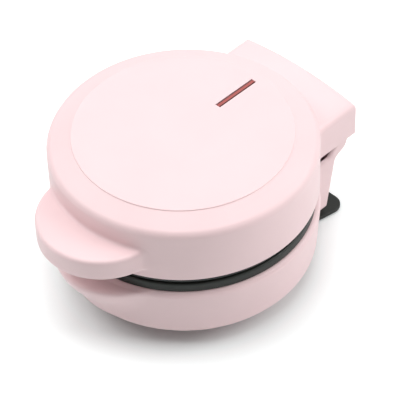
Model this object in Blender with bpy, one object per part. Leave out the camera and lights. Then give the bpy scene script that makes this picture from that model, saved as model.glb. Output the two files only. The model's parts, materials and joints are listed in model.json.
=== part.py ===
"""Mini waffle maker with a hinged lid, as separate pieces at real size.

It stands on z = 0. Its handle faces -Y and its hinge is at +Y. Lengths are in metres.
Every radius is measured from the upright axis of the round body, or from a piece's own axis.
"""

import math

import bmesh
import bpy
from mathutils import Vector

# Fits and cutting
GAP = 0.0003
CLEARANCE = 0.0005
OVERRUN = 0.0020

# Heights of the stack, from the floor up
FOOT_PROUD = 0.0008
WRAP_PLATE_THICKNESS = 0.0020
CORD_GAP = 0.0044
BASE_HEIGHT = 0.0285
RING_HEIGHT = 0.0049
SEAM_HEIGHT = 0.0046
LID_WALL_HEIGHT = 0.0285
LID_DOME_RISE = 0.0047

# Round body
WALL = 0.0020
LID_RADIUS = 0.0635
LID_EDGE_ROUND = 0.0004
SHOULDER_ROUND = 0.0025
DISC_MARGIN = 0.0115
GROOVE_WIDTH = 0.0010
GROOVE_DEPTH = 0.0004
BASE_FLARE = 0.0008
BASE_TAPER = 0.0018
BASE_FOOT_ROUND = 0.0046
BASE_LIP_DROP = 0.0009
BASE_LIP_ROUND = 0.0020
BASE_MOUTH_LEDGE = 0.0020
BASE_MOUTH_DEPTH = 0.0012
BASE_UNDERCUT = 0.0030

# Grip tab of the base, below the handle
GRIP_OFFSET = 0.0428
GRIP_RADIUS = 0.0320
GRIP_WALL_HEIGHT = 0.0038
GRIP_EDGE = 0.0018
GRIP_FOOT_RADIUS = 0.0194
GRIP_FOOT_HEIGHT = 0.0048

# Handle tab of the lid
HANDLE_SINK = 0.0115
HANDLE_RADIUS = 0.0312
HANDLE_RISE = 0.0060
HANDLE_THICKNESS = 0.0113
HANDLE_EDGE = 0.0017
HANDLE_WALL = 0.0020
HANDLE_COVER_THICKNESS = 0.0016
HANDLE_PEG_RADIUS = 0.0018
HANDLE_PEG_LENGTH = 0.0050
HANDLE_BOSS_WALL = 0.0012
HANDLE_BOSS_SPREAD = 0.0140
HANDLE_BOSS_MARGIN = 0.0122

# Hood over the hinge, at the back of the lid
HOOD_HALF_WIDTH = 0.0361
HOOD_OVERHANG = 0.0096
HOOD_SINK = 0.0185
HOOD_RISE = 0.0007
HOOD_SIDE_HEIGHT = 0.0193
HOOD_CROWN = 0.0049
HOOD_EDGE = 0.0025
HOOD_WALL = 0.0016

# Hinge
HINGE_REACH = 0.0073
HINGE_DROP = 0.0025
BARREL_RADIUS = 0.00825
BARREL_START_ANGLE = -78
LUG_WALL = 0.0031
LUG_THICKNESS = 0.0050
PIN_RADIUS = 0.0022
PIN_HEAD_OVERHANG = 0.0012
PIN_HEAD_THICKNESS = 0.0012
EAR_CAP = 0.0023
SLOT_MARGIN = 0.0012

# Tower of the base, which carries the hinge
TOWER_INSET = 0.0021
TOWER_NECK_SHIFT = 0.0006
TOWER_NECK_STEP = 0.00135
TOWER_LEAN = 0.0060
TOWER_FOOT_ROUND = 0.0020
TOWER_TOP_DROP = 0.0060
TOWER_EDGE = 0.0025
EAR_THICKNESS = 0.0091
TOWER_ROOF = 0.0029

# Waffle plates
FLANGE_WIDTH = 0.0037
PLATE_MARGIN = 0.0090
PLATE_DRAFT = 0.0022
PLATE_FLANGE = 0.0025
PLATE_FLOOR = 0.0025
PIT_DEPTH = 0.0080
WAFFLE_WEB = 0.0050
STUD_PITCH = 0.0132
STUD_GROOVE = 0.0036
STUD_DRAFT = 0.0018
STUD_MARGIN = 0.0031
PARTING_GAP = 0.0003
PLATE_BOSS_WALL = 0.0035

# Trim rings
RING_INSET = 0.0017
LEDGE_OVERLAP = 0.0025
LEDGE_THICKNESS = 0.0022
RING_EDGE = 0.0008
RING_LIP_DEPTH = 0.0034
RING_LIP_THICKNESS = 0.0021
RING_SEAM = 0.0009
RING_BOSS_WALL = 0.0011
RING_BOSS_INSET = 0.0029

# Heating elements
ELEMENT_MARGIN = 0.0178
ELEMENT_RADIUS = 0.0031
TAIL_MARGIN = 0.0016
ELEMENT_TAIL = 0.0110
ELEMENT_BEND = 0.0060
CLAMP_OVERHANG = 0.0100
CLAMP_WIDTH = 0.0130
CLAMP_THICKNESS = 0.0012

# Heat shields
SHIELD_THICKNESS = 0.0008
SHIELD_OVERLAP = 0.0016
SHIELD_FLANGE_WIDTH = 0.0010
SHIELD_DRAFT = 0.0056
SHIELD_ROOM = 0.0004

# Controls inside the base
THERMOSTAT_RADIUS = 0.0075
THERMOSTAT_HEIGHT = 0.0060
THERMOSTAT_MARGIN = 0.0040
THERMOSTAT_TAB = 0.0030
THERMOSTAT_TAB_WIDTH = 0.0048
THERMOSTAT_TAB_THICKNESS = 0.0008
FUSE_RADIUS = 0.0021
FUSE_LENGTH = 0.0120
FUSE_CLIP_WIDTH = 0.0050
TERMINAL_BLOCK_SIZE = (0.0260, 0.0110, 0.0100)
TERMINAL_BLOCK_MARGIN = 0.0104
TERMINAL_HOLE_RADIUS = 0.0018

# Cord gland in the tower's rear wall
GLAND_MARGIN = 0.0010
GLAND_BORE_RADIUS = 0.0030
GLAND_WALL = 0.0014
GLAND_OVERHANG = 0.0018
GLAND_FLANGE = 0.0015
GLAND_NUT = 0.0012

# Wire sleeve across the hinge
SLEEVE_RADIUS = 0.0022
SLEEVE_LEAD = 0.0053
SLEEVE_TAIL = 0.0025
SLEEVE_HEAD = 0.0040
SLEEVE_SHARES = (0.4, 0.7, 1.0)

# Indicator window in the lid
WINDOW_HALF_WIDTH = 0.00134
WINDOW_LENGTH = 0.0228
WINDOW_MARGIN = 0.0051
WINDOW_RECESS = 0.0012
LENS_FLANGE_WIDTH = 0.0056
LENS_FLANGE_MARGIN = 0.0016
LENS_FLANGE_THICKNESS = 0.0012
LAMP_RADIUS = 0.0023
LAMP_LENGTH = 0.0140
HOLDER_WIDTH = 0.0110
HOLDER_MARGIN = 0.0026
HOLDER_WALL = 0.0012
HOLDER_RIB = 0.0016

# Foot and cord-wrap plate
WRAP_OVERHANG = 0.0083
WRAP_SIDE_OVERHANG = 0.0037
WRAP_REAR_LENGTH = 0.0150
WRAP_REAR_TAPER = 0.0030
WRAP_WAIST_MARGIN = 0.0060
WRAP_WAIST_OFFSET = 0.0060
WRAP_FRONT_INSET = 0.0205
WRAP_TAPER = 0.0057
WRAP_CORNER = 0.0075
PEDESTAL_HALF_WIDTH = 0.0170
PEDESTAL_HALF_LENGTH = 0.0150
PEDESTAL_CORNER = 0.0060
PEDESTAL_SCREW_MARGIN = 0.0060
FOOT_RADIUS = 0.0045
FOOT_POCKET_DEPTH = 0.0010
FOOT_MARGIN = 0.0020

# Screws
SCREW_RADIUS = 0.0012
SCREW_HEAD_OVERHANG = 0.0011
SCREW_HEAD_HEIGHT = 0.0014
SCREW_GRIP = 0.0090
SCREW_BOSS_WALL = 0.0014
SCREW_BOSS_HEIGHT = 0.0050

# Counts of facets and copies
SHELL_SEGMENTS = 48
PLATE_SEGMENTS = 40
SMALL_SEGMENTS = 12
ARC_STEPS = 2
BARREL_STEPS = 14
CROWN_STEPS = 7
SCREWS_PER_RING = 4
SCREW_START_ANGLE = 45
ELEMENT_STEPS = 30
BEND_STEPS = 3
WRAP_CORNER_STEPS = 5
TUBE_RESOLUTION = 2
SEAM_SHARE = 0.5
SMOOTH_ANGLE = math.radians(32)
BEVEL_ANGLE = math.radians(50)
ALONG_X = (0, math.pi / 2, 0)
ALONG_Y = (math.pi / 2, 0, 0)

# Heights that follow from the stack
WRAP_PLATE_TOP = FOOT_PROUD + WRAP_PLATE_THICKNESS
BASE_BOTTOM = WRAP_PLATE_TOP + CORD_GAP
BASE_FLOOR = BASE_BOTTOM + WALL
BASE_RIM = BASE_BOTTOM + BASE_HEIGHT
RING_TOP = BASE_RIM + RING_HEIGHT
LID_EDGE = RING_TOP + SEAM_HEIGHT
LID_SHOULDER = LID_EDGE + LID_WALL_HEIGHT
LID_TOP = LID_SHOULDER + LID_DOME_RISE
LID_CEILING = LID_TOP - WALL
PARTING = RING_TOP + PARTING_GAP
LID_RING_BOTTOM = RING_TOP + RING_SEAM
HINGE_HEIGHT = LID_EDGE - HINGE_DROP
GRIP_TOP = BASE_RIM - BASE_LIP_DROP
GRIP_BOTTOM = GRIP_TOP - GRIP_WALL_HEIGHT
GRIP_FOOT = BASE_BOTTOM + GRIP_FOOT_HEIGHT
TOWER_NECK_HEIGHT = HINGE_HEIGHT - BARREL_RADIUS - TOWER_NECK_STEP
TOWER_TOP = LID_EDGE - TOWER_TOP_DROP
HOOD_BOTTOM = LID_EDGE + HOOD_RISE
HANDLE_BOTTOM = LID_EDGE + HANDLE_RISE
HANDLE_TOP = HANDLE_BOTTOM + HANDLE_THICKNESS
HANDLE_COVER_TOP = HANDLE_BOTTOM + HANDLE_COVER_THICKNESS

# Heights of the lower stack, which the lid mirrors about the parting plane
PLATE_RIM = PARTING - PARTING_GAP
PLATE_PIT = PARTING - PIT_DEPTH
PLATE_BACK = PLATE_PIT - PLATE_FLOOR
PLATE_SEAT = PLATE_RIM - PLATE_FLANGE - GAP
LEDGE_BACK = PLATE_SEAT - LEDGE_THICKNESS
ELEMENT_HEIGHT = PLATE_BACK - GAP - ELEMENT_RADIUS
CLAMP_TOP = ELEMENT_HEIGHT - ELEMENT_RADIUS - GAP
CLAMP_SCREW_HEAD = CLAMP_TOP - CLAMP_THICKNESS - GAP - SCREW_HEAD_HEIGHT
THERMOSTAT_BOTTOM = PLATE_BACK - GAP - THERMOSTAT_HEIGHT
SHIELD_TOP = LEDGE_BACK - GAP
SHIELD_BOTTOM = min(CLAMP_SCREW_HEAD, THERMOSTAT_BOTTOM - THERMOSTAT_TAB) - SHIELD_ROOM - SHIELD_THICKNESS

# Radii about the upright axis that follow from the lid's
LID_INNER_RADIUS = LID_RADIUS - WALL
DISC_RADIUS = LID_RADIUS - DISC_MARGIN
BASE_RADIUS = LID_RADIUS + BASE_FLARE
BASE_FOOT_RADIUS = BASE_RADIUS - BASE_TAPER
RING_OUTER_RADIUS = LID_RADIUS - RING_INSET
BASE_MOUTH_RADIUS = RING_OUTER_RADIUS - BASE_MOUTH_LEDGE
PLATE_RADIUS = LID_RADIUS - PLATE_MARGIN
SEAT_RADIUS = PLATE_RADIUS + CLEARANCE
COOKING_RADIUS = PLATE_RADIUS - FLANGE_WIDTH
PLATE_FLOOR_RADIUS = COOKING_RADIUS - PLATE_DRAFT
STUD_FIELD_RADIUS = PLATE_FLOOR_RADIUS - STUD_MARGIN
LEDGE_RADIUS = PLATE_RADIUS - LEDGE_OVERLAP
LID_SCREW_CIRCLE = (SEAT_RADIUS + LID_INNER_RADIUS - GAP) / 2
BASE_SCREW_CIRCLE = BASE_MOUTH_RADIUS - CLEARANCE - RING_BOSS_INSET
ELEMENT_CIRCLE = COOKING_RADIUS - ELEMENT_MARGIN
SHIELD_FLANGE_RADIUS = LEDGE_RADIUS + SHIELD_OVERLAP
SHIELD_MOUTH_RADIUS = SHIELD_FLANGE_RADIUS - SHIELD_FLANGE_WIDTH
SHIELD_FLOOR_RADIUS = SHIELD_MOUTH_RADIUS - SHIELD_DRAFT

# Radii of the small round pieces that follow from their bores and walls
PIN_BORE_RADIUS = PIN_RADIUS + GAP
PIN_HEAD_RADIUS = PIN_RADIUS + PIN_HEAD_OVERHANG
LUG_RADIUS = PIN_BORE_RADIUS + LUG_WALL
SCREW_PILOT_RADIUS = SCREW_RADIUS + GAP
SCREW_PASS_RADIUS = SCREW_RADIUS + CLEARANCE
SCREW_HEAD_RADIUS = SCREW_RADIUS + SCREW_HEAD_OVERHANG
SCREW_SINK_RADIUS = SCREW_HEAD_RADIUS + CLEARANCE
RING_BOSS_RADIUS = SCREW_PILOT_RADIUS + RING_BOSS_WALL
PLATE_BOSS_RADIUS = SCREW_PILOT_RADIUS + PLATE_BOSS_WALL
GLAND_NECK_RADIUS = GLAND_BORE_RADIUS + GLAND_WALL
GLAND_FLANGE_RADIUS = GLAND_NECK_RADIUS + GLAND_OVERHANG

# Places that follow from the sizes
HANDLE_OFFSET = LID_RADIUS - HANDLE_SINK
HINGE_OFFSET = LID_RADIUS + HINGE_REACH
HOOD_REACH = HINGE_OFFSET + HOOD_OVERHANG
HOOD_FRONT = LID_RADIUS - HOOD_SINK
AXIS_Y = (HANDLE_OFFSET + HANDLE_RADIUS - HOOD_REACH) / 2
HINGE_Y = AXIS_Y + HINGE_OFFSET
TOWER_HALF_WIDTH = HOOD_HALF_WIDTH - TOWER_INSET
EAR_INNER = TOWER_HALF_WIDTH - EAR_THICKNESS
LUG_OUTER = EAR_INNER - CLEARANCE
LUG_INNER = LUG_OUTER - LUG_THICKNESS
SLOT_FLOOR = HINGE_HEIGHT - LUG_RADIUS - SLOT_MARGIN
TOWER_NECK = HINGE_OFFSET + TOWER_NECK_SHIFT
TOWER_HEEL = TOWER_NECK - TOWER_LEAN
WINDOW_BACK = DISC_RADIUS - WINDOW_MARGIN
WINDOW_FRONT = WINDOW_BACK - WINDOW_LENGTH
THERMOSTAT_OFFSET = CLAMP_WIDTH / 2 + THERMOSTAT_RADIUS + THERMOSTAT_MARGIN
FUSE_OFFSET = (CLAMP_WIDTH / 2 + ELEMENT_CIRCLE - ELEMENT_RADIUS) / 2
TERMINAL_BLOCK_OFFSET = TOWER_HEEL - TERMINAL_BLOCK_MARGIN
GLAND_HEIGHT = BASE_BOTTOM + BASE_FOOT_ROUND + GLAND_FLANGE_RADIUS + GLAND_MARGIN
SLEEVE_OFFSET = HINGE_OFFSET - SLEEVE_LEAD
WRAP_REAR_REACH = TOWER_HEEL + WRAP_OVERHANG
WRAP_REAR_HALF_WIDTH = TOWER_HALF_WIDTH + WRAP_SIDE_OVERHANG
WRAP_FRONT_HALF_WIDTH = WRAP_REAR_HALF_WIDTH - WRAP_TAPER
WRAP_WAIST_HALF_WIDTH = PEDESTAL_HALF_WIDTH + WRAP_WAIST_MARGIN
WRAP_FRONT_REACH = BASE_FOOT_RADIUS - WRAP_FRONT_INSET
TOWER_SLOPE = math.atan2(TOWER_NECK - TOWER_HEEL, TOWER_NECK_HEIGHT - BASE_BOTTOM)
GRIP_SLOPE = math.atan2(GRIP_RADIUS - GRIP_FOOT_RADIUS, GRIP_BOTTOM - GRIP_FOOT)


def clear_scene():
    """Remove every object of the scene that is open."""
    for item in list(bpy.data.objects):
        bpy.data.objects.remove(item, do_unlink=True)


def finish(name, color, roughness, metallic=0.0):
    """Return a plain Principled material."""
    material = bpy.data.materials.new(name)
    material.use_nodes = True
    shader = material.node_tree.nodes["Principled BSDF"]
    shader.inputs["Base Color"].default_value = (*color, 1.0)
    shader.inputs["Roughness"].default_value = roughness
    shader.inputs["Metallic"].default_value = metallic
    return material


def add_object(name, form, location=(0, AXIS_Y, 0), rotation=(0, 0, 0)):
    """Turn a bmesh into a placed object with smooth round faces."""
    bmesh.ops.recalc_face_normals(form, faces=form.faces)
    mesh = bpy.data.meshes.new(name)
    form.to_mesh(mesh)
    form.free()
    mesh.shade_smooth()
    mesh.set_sharp_from_angle(angle=SMOOTH_ANGLE)
    item = bpy.data.objects.new(name, mesh)
    item.location = location
    item.rotation_euler = rotation
    bpy.context.scene.collection.objects.link(item)
    return item


def rounded(corners, steps=ARC_STEPS):
    """Round the corners of a closed outline: each is (x, y) or (x, y, fillet radius)."""
    points = []
    for index, corner in enumerate(corners):
        here = Vector(corner[:2])
        radius = corner[2] if len(corner) > 2 else 0
        if radius == 0:
            points.append(tuple(here))
            continue
        back = Vector(corners[index - 1][:2]) - here
        ahead = Vector(corners[(index + 1) % len(corners)][:2]) - here
        half = back.angle(ahead) / 2
        reach = min(radius / math.tan(half), back.length / 2, ahead.length / 2)
        radius = reach * math.tan(half)
        back.normalize()
        ahead.normalize()
        centre = here + (back + ahead).normalized() * radius / math.sin(half)
        start = here + back * reach - centre
        turn = start.angle_signed(here + ahead * reach - centre)
        for step in range(steps + 1):
            angle = -turn * step / steps
            spoke = Vector((
                start.x * math.cos(angle) - start.y * math.sin(angle),
                start.x * math.sin(angle) + start.y * math.cos(angle),
            ))
            points.append(tuple(centre + spoke))
    return points


def arc(centre, radius, start, end, steps):
    """Points on an arc, angles in degrees."""
    points = []
    for step in range(steps + 1):
        angle = math.radians(start + (end - start) * step / steps)
        points.append((centre[0] + radius * math.cos(angle), centre[1] + radius * math.sin(angle)))
    return points


def add_turned_form(form, profile, segments, place):
    """Add one closed turned form to a bmesh. Its profile starts and ends flat at radius 0, or is a ring."""
    rings = []
    for radius, height in profile:
        ring = []
        for index in range(segments if radius > 0 else 0):
            angle = math.tau * (index + SEAM_SHARE) / segments
            ring.append(form.verts.new((
                place[0] + radius * math.cos(angle), place[1] + radius * math.sin(angle), height)))
        rings.append(ring)
    for index, ring in enumerate(rings):
        following = rings[(index + 1) % len(rings)]
        if ring and following:
            for side in range(segments):
                after = (side + 1) % segments
                form.faces.new((ring[side], ring[after], following[after], following[side]))
        elif ring or following:
            form.faces.new(ring or following)


def turned(name, profile, segments=SHELL_SEGMENTS, location=(0, AXIS_Y, 0), rotation=(0, 0, 0)):
    """Turn a closed profile of (radius, height) points about the upright axis."""
    form = bmesh.new()
    add_turned_form(form, profile, segments, (0, 0))
    return add_object(name, form, location, rotation)


def turned_set(name, profile, places, segments=SMALL_SEGMENTS):
    """The same small turned form at several places, as one tool."""
    form = bmesh.new()
    for place in places:
        add_turned_form(form, profile, segments, place)
    return add_object(name, form)


def extruded(name, outline, low, high, along="Z", location=(0, AXIS_Y, 0)):
    """Extrude a flat outline along X, Y or Z. The outline lies in YZ, XZ or XY."""
    def spot(point, depth):
        if along == "X":
            return (depth, point[0], point[1])
        if along == "Y":
            return (point[0], depth, point[1])
        return (point[0], point[1], depth)

    form = bmesh.new()
    near = [form.verts.new(spot(point, low)) for point in outline]
    far = [form.verts.new(spot(point, high)) for point in outline]
    form.faces.new(near)
    form.faces.new(far)
    for index in range(len(outline)):
        after = (index + 1) % len(outline)
        form.faces.new((near[index], near[after], far[after], far[index]))
    return add_object(name, form, location)


def block(name, low, high, location=(0, AXIS_Y, 0)):
    """A rectangular block between two corners."""
    outline = [(low[0], low[1]), (high[0], low[1]), (high[0], high[1]), (low[0], high[1])]
    return extruded(name, outline, low[2], high[2], location=location)


def rod_profile(radius, low, high):
    """Profile of a plain round rod."""
    return [(0, low), (radius, low), (radius, high), (0, high)]


def stepped_profile(wide, narrow, low, step, high):
    """Profile of a rod that is wide up to a step and narrow above it."""
    return [(0, low), (wide, low), (wide, step), (narrow, step), (narrow, high), (0, high)]


def rod(name, radius, low, high, x, y, segments=SMALL_SEGMENTS):
    """An upright round rod at a place in the round body's frame."""
    return turned(name, rod_profile(radius, low, high), segments, (x, AXIS_Y + y, 0))


def tube(name, points, radius):
    """A solid round tube along points, with filled ends."""
    curve = bpy.data.curves.new(name, "CURVE")
    curve.dimensions = "3D"
    curve.bevel_depth = radius
    curve.bevel_resolution = TUBE_RESOLUTION
    curve.use_fill_caps = True
    spline = curve.splines.new("POLY")
    spline.points.add(len(points) - 1)
    for target, point in zip(spline.points, points):
        target.co = (*point, 1)
    item = bpy.data.objects.new(name, curve)
    item.location = (0, AXIS_Y, 0)
    bpy.context.scene.collection.objects.link(item)
    return item


def soften(item, width, steps=2):
    """Bevel the sharp edges of a piece."""
    modifier = item.modifiers.new("soft edges", "BEVEL")
    modifier.width = width
    modifier.segments = steps
    modifier.limit_method = "ANGLE"
    modifier.angle_limit = BEVEL_ANGLE


def combine(item, tool, operation):
    """Add a Boolean that keeps its tool in the scene as a hidden guide."""
    modifier = item.modifiers.new(tool.name, "BOOLEAN")
    modifier.operation = operation
    modifier.object = tool
    tool.hide_render = True
    tool.display_type = "WIRE"


def cut(item, *tools):
    """Take tools away from a piece."""
    for tool in tools:
        combine(item, tool, "DIFFERENCE")


def fuse(item, *tools):
    """Make tools part of a piece."""
    for tool in tools:
        combine(item, tool, "UNION")


def around(circle, count, first_angle):
    """Places spread evenly on a circle, as (x, y) in the round body's frame."""
    places = []
    for index in range(count):
        angle = math.radians(first_angle) + math.tau * index / count
        places.append((circle * math.cos(angle), circle * math.sin(angle)))
    return places


LID_SCREW_PLACES = around(LID_SCREW_CIRCLE, SCREWS_PER_RING, SCREW_START_ANGLE)
BASE_SCREW_PLACES = around(BASE_SCREW_CIRCLE, SCREWS_PER_RING, SCREW_START_ANGLE)
WRAP_SCREW_PLACES = [(side * (PEDESTAL_HALF_WIDTH - PEDESTAL_SCREW_MARGIN), 0) for side in (-1, 1)]
HANDLE_PEG_PLACES = [
    (side * HANDLE_BOSS_SPREAD, HANDLE_BOSS_MARGIN - HANDLE_OFFSET - HANDLE_RADIUS) for side in (-1, 1)]


def mirrored(height):
    """The height on the lid's side of the parting plane that matches one on the base's side."""
    return 2 * PARTING - height


def facing(profile, upper):
    """A profile as it is for the base, or mirrored for the lid."""
    if not upper:
        return profile
    return [(radius, mirrored(height)) for radius, height in profile]


def span(low, high, upper):
    """Lower and upper height of a span as it is for the base, or mirrored for the lid."""
    if not upper:
        return low, high
    return mirrored(high), mirrored(low)


def hood_height(x):
    """Height of the hood's crowned top at a distance from its middle."""
    share = x / HOOD_HALF_WIDTH
    return HOOD_BOTTOM + HOOD_SIDE_HEIGHT + HOOD_CROWN * (1 - share * share)


def hood_section(inset):
    """Section of the hood across its width, in XZ, its crowned top included."""
    half = HOOD_HALF_WIDTH - inset
    bottom = HOOD_BOTTOM if inset == 0 else HOOD_BOTTOM - OVERRUN
    outline = [(half, bottom), (-half, bottom)]
    for step in range(CROWN_STEPS + 1):
        x = half * (2 * step / CROWN_STEPS - 1)
        outline.append((x, hood_height(x) - inset))
    return outline


def handle_tab():
    """The round handle tab, hollow from below."""
    place = (0, AXIS_Y - HANDLE_OFFSET, 0)
    profile = rounded([
        (0, HANDLE_BOTTOM),
        (HANDLE_RADIUS, HANDLE_BOTTOM, HANDLE_EDGE / 2),
        (HANDLE_RADIUS, HANDLE_TOP, HANDLE_EDGE),
        (0, HANDLE_TOP),
    ])
    tab = turned("lid_shell", profile, location=place)
    inner = HANDLE_RADIUS - HANDLE_WALL
    pocket = rod_profile(inner, HANDLE_BOTTOM - OVERRUN, HANDLE_TOP - HANDLE_WALL)
    cut(tab, turned("handle_pocket", pocket, location=place))
    bore = HANDLE_PEG_RADIUS + GAP
    low = HANDLE_COVER_TOP + GAP
    high = HANDLE_TOP - HANDLE_WALL / 2
    fuse(tab, turned_set("handle_bosses", rod_profile(bore + HANDLE_BOSS_WALL, low, high), HANDLE_PEG_PLACES))
    reach = low + HANDLE_PEG_LENGTH + GAP
    cut(tab, turned_set("handle_bores", rod_profile(bore, low - OVERRUN, reach), HANDLE_PEG_PLACES))
    return tab


def lid_outer():
    """The solid outer form of the round lid."""
    groove = GROOVE_WIDTH / 2
    profile = rounded([
        (0, LID_EDGE),
        (LID_RADIUS, LID_EDGE, LID_EDGE_ROUND),
        (LID_RADIUS, LID_SHOULDER, SHOULDER_ROUND),
        (DISC_RADIUS + groove, LID_TOP),
        (DISC_RADIUS, LID_TOP - GROOVE_DEPTH),
        (DISC_RADIUS - groove, LID_TOP),
        (0, LID_TOP),
    ])
    return turned("lid_outer", profile)


def ceiling_height(radius):
    """Height of the lid's inner face at a radius."""
    if radius < DISC_RADIUS - WALL:
        return LID_CEILING
    share = (radius - DISC_RADIUS + WALL) / (LID_INNER_RADIUS - DISC_RADIUS + WALL)
    return LID_CEILING - share * LID_DOME_RISE


def lid_cavity():
    """The hollow of the round lid."""
    profile = rounded([
        (0, LID_EDGE - OVERRUN),
        (LID_INNER_RADIUS, LID_EDGE - OVERRUN),
        (LID_INNER_RADIUS, ceiling_height(LID_INNER_RADIUS), SHOULDER_ROUND / 2),
        (DISC_RADIUS - WALL, LID_CEILING),
        (0, LID_CEILING),
    ])
    return turned("lid_cavity", profile)


def hinge_lug(side):
    """A lug of the lid that reaches down to the hinge pin, as an extrusion along X."""
    low, high = sorted((side * LUG_INNER, side * LUG_OUTER))
    roof = hood_height(LUG_OUTER) - HOOD_WALL / 3
    outline = arc((HINGE_OFFSET, HINGE_HEIGHT), LUG_RADIUS, -180, 0, 2 * ARC_STEPS)
    outline += [(HINGE_OFFSET + LUG_RADIUS, roof), (HINGE_OFFSET - LUG_RADIUS, roof)]
    return extruded(f"hinge_lug_{side}", outline, low, high, along="X")


def pin_bore(name, low, high):
    """A round hole on the hinge axis between two places along X."""
    place = (0, HINGE_Y, HINGE_HEIGHT)
    return turned(name, rod_profile(PIN_BORE_RADIUS, low, high), SMALL_SEGMENTS, place, ALONG_X)


def make_lid_shell():
    """Pink lid moulding: round lid, handle tab, hinge hood, lugs and screw bosses."""
    shell = handle_tab()
    hood = extruded("hood", hood_section(0), HOOD_FRONT, HOOD_REACH, along="Y")
    soften(hood, HOOD_EDGE, ARC_STEPS)
    hood_hollow = extruded(
        "hood_hollow", hood_section(HOOD_WALL), HOOD_FRONT - OVERRUN, HOOD_REACH - HOOD_WALL, along="Y")
    fuse(shell, lid_outer(), hood)
    cut(shell, lid_cavity(), hood_hollow)
    window = block(
        "window_opening",
        (-WINDOW_HALF_WIDTH, WINDOW_FRONT, LID_CEILING - OVERRUN),
        (WINDOW_HALF_WIDTH, WINDOW_BACK, LID_TOP + OVERRUN))
    cut(shell, window)
    for side in (-1, 1):
        fuse(shell, hinge_lug(side))
    cut(shell, pin_bore("lug_bore", -EAR_INNER, EAR_INNER))
    low = mirrored(LEDGE_BACK) + GAP
    high = ceiling_height(LID_SCREW_CIRCLE) + WALL / 2
    boss = rod_profile(SCREW_PILOT_RADIUS + SCREW_BOSS_WALL, low, high)
    pilot = rod_profile(SCREW_PILOT_RADIUS, low - OVERRUN, low + SCREW_GRIP)
    fuse(shell, turned_set("lid_bosses", boss, LID_SCREW_PLACES))
    cut(shell, turned_set("lid_pilots", pilot, LID_SCREW_PLACES))
    return shell


def make_handle_cover():
    """Plate that closes the handle tab from below, held by two pegs."""
    radius = HANDLE_RADIUS - HANDLE_WALL - GAP
    low = HANDLE_COVER_TOP - HANDLE_COVER_THICKNESS + GAP
    place = (0, AXIS_Y - HANDLE_OFFSET, 0)
    cover = turned("handle_cover", rod_profile(radius, low, HANDLE_COVER_TOP), location=place)
    wall = rod_profile(LID_RADIUS + GAP, low - OVERRUN, HANDLE_COVER_TOP + OVERRUN)
    cut(cover, turned("lid_wall_clearance", wall))
    pegs = rod_profile(HANDLE_PEG_RADIUS, low + GAP, HANDLE_COVER_TOP + HANDLE_PEG_LENGTH)
    fuse(cover, turned_set("handle_pegs", pegs, HANDLE_PEG_PLACES))
    return cover


def base_outer():
    """The solid outer form of the round base."""
    profile = rounded([
        (0, BASE_BOTTOM),
        (BASE_FOOT_RADIUS, BASE_BOTTOM, BASE_FOOT_ROUND),
        (BASE_RADIUS, BASE_RIM - BASE_LIP_DROP, BASE_LIP_ROUND),
        (RING_OUTER_RADIUS, BASE_RIM),
        (0, BASE_RIM),
    ])
    return turned("base_shell", profile)


def base_cavity():
    """The hollow of the round base, narrower at its mouth, where the trim ring fits."""
    profile = rounded([
        (0, BASE_FLOOR),
        (BASE_FOOT_RADIUS - WALL, BASE_FLOOR, BASE_FOOT_ROUND - WALL),
        (BASE_RADIUS - WALL, BASE_RIM - BASE_MOUTH_DEPTH - BASE_UNDERCUT),
        (BASE_MOUTH_RADIUS, BASE_RIM - BASE_MOUTH_DEPTH),
        (BASE_MOUTH_RADIUS, BASE_RIM + OVERRUN),
        (0, BASE_RIM + OVERRUN),
    ])
    return turned("base_cavity", profile)


def grip_outer():
    """The grip tab below the handle, whose underside slopes back into the bowl."""
    profile = rounded([
        (0, GRIP_FOOT),
        (GRIP_FOOT_RADIUS, GRIP_FOOT),
        (GRIP_RADIUS, GRIP_BOTTOM),
        (GRIP_RADIUS, GRIP_TOP, GRIP_EDGE),
        (0, GRIP_TOP),
    ])
    return turned("grip_tab", profile, location=(0, AXIS_Y - GRIP_OFFSET, 0))


def grip_cavity():
    """The hollow of the grip tab, open to the bowl."""
    inset = WALL / math.cos(GRIP_SLOPE)
    profile = [
        (0, GRIP_FOOT),
        (GRIP_FOOT_RADIUS - inset, GRIP_FOOT),
        (GRIP_RADIUS - inset, GRIP_BOTTOM),
        (GRIP_RADIUS - inset, GRIP_TOP - WALL),
        (0, GRIP_TOP - WALL),
    ]
    return turned("grip_cavity", profile, location=(0, AXIS_Y - GRIP_OFFSET, 0))


def tower_outer():
    """The hinge tower behind the bowl, with the round barrel on its top."""
    front_angle = 180 + math.degrees(math.asin((HINGE_HEIGHT - TOWER_TOP) / BARREL_RADIUS))
    outline = rounded([
        (HOOD_FRONT, BASE_BOTTOM),
        (TOWER_HEEL, BASE_BOTTOM, TOWER_FOOT_ROUND),
        (TOWER_NECK, TOWER_NECK_HEIGHT),
    ])
    outline += arc((HINGE_OFFSET, HINGE_HEIGHT), BARREL_RADIUS, BARREL_START_ANGLE, front_angle, BARREL_STEPS)
    outline.append((HOOD_FRONT, TOWER_TOP))
    tower = extruded("tower", outline, -TOWER_HALF_WIDTH, TOWER_HALF_WIDTH, along="X")
    soften(tower, TOWER_EDGE)
    ring_room = rod(
        "ring_room", RING_OUTER_RADIUS + GAP, BASE_FLOOR + WALL, HINGE_HEIGHT + BARREL_RADIUS + OVERRUN,
        0, 0, SHELL_SEGMENTS)
    cut(tower, ring_room)
    return tower


def tower_cavity():
    """The hollow of the tower, open to the bowl."""
    half = TOWER_HALF_WIDTH - WALL
    top = SLOT_FLOOR - TOWER_ROOF
    slope = math.tan(TOWER_SLOPE)
    heel = TOWER_HEEL - WALL
    outline = [
        (HOOD_FRONT - WALL, BASE_FLOOR),
        (heel, BASE_FLOOR),
        (heel + slope * (top - BASE_FLOOR), top),
        (HOOD_FRONT - WALL, top),
    ]
    return extruded("tower_cavity", outline, -half, half, along="X")


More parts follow.
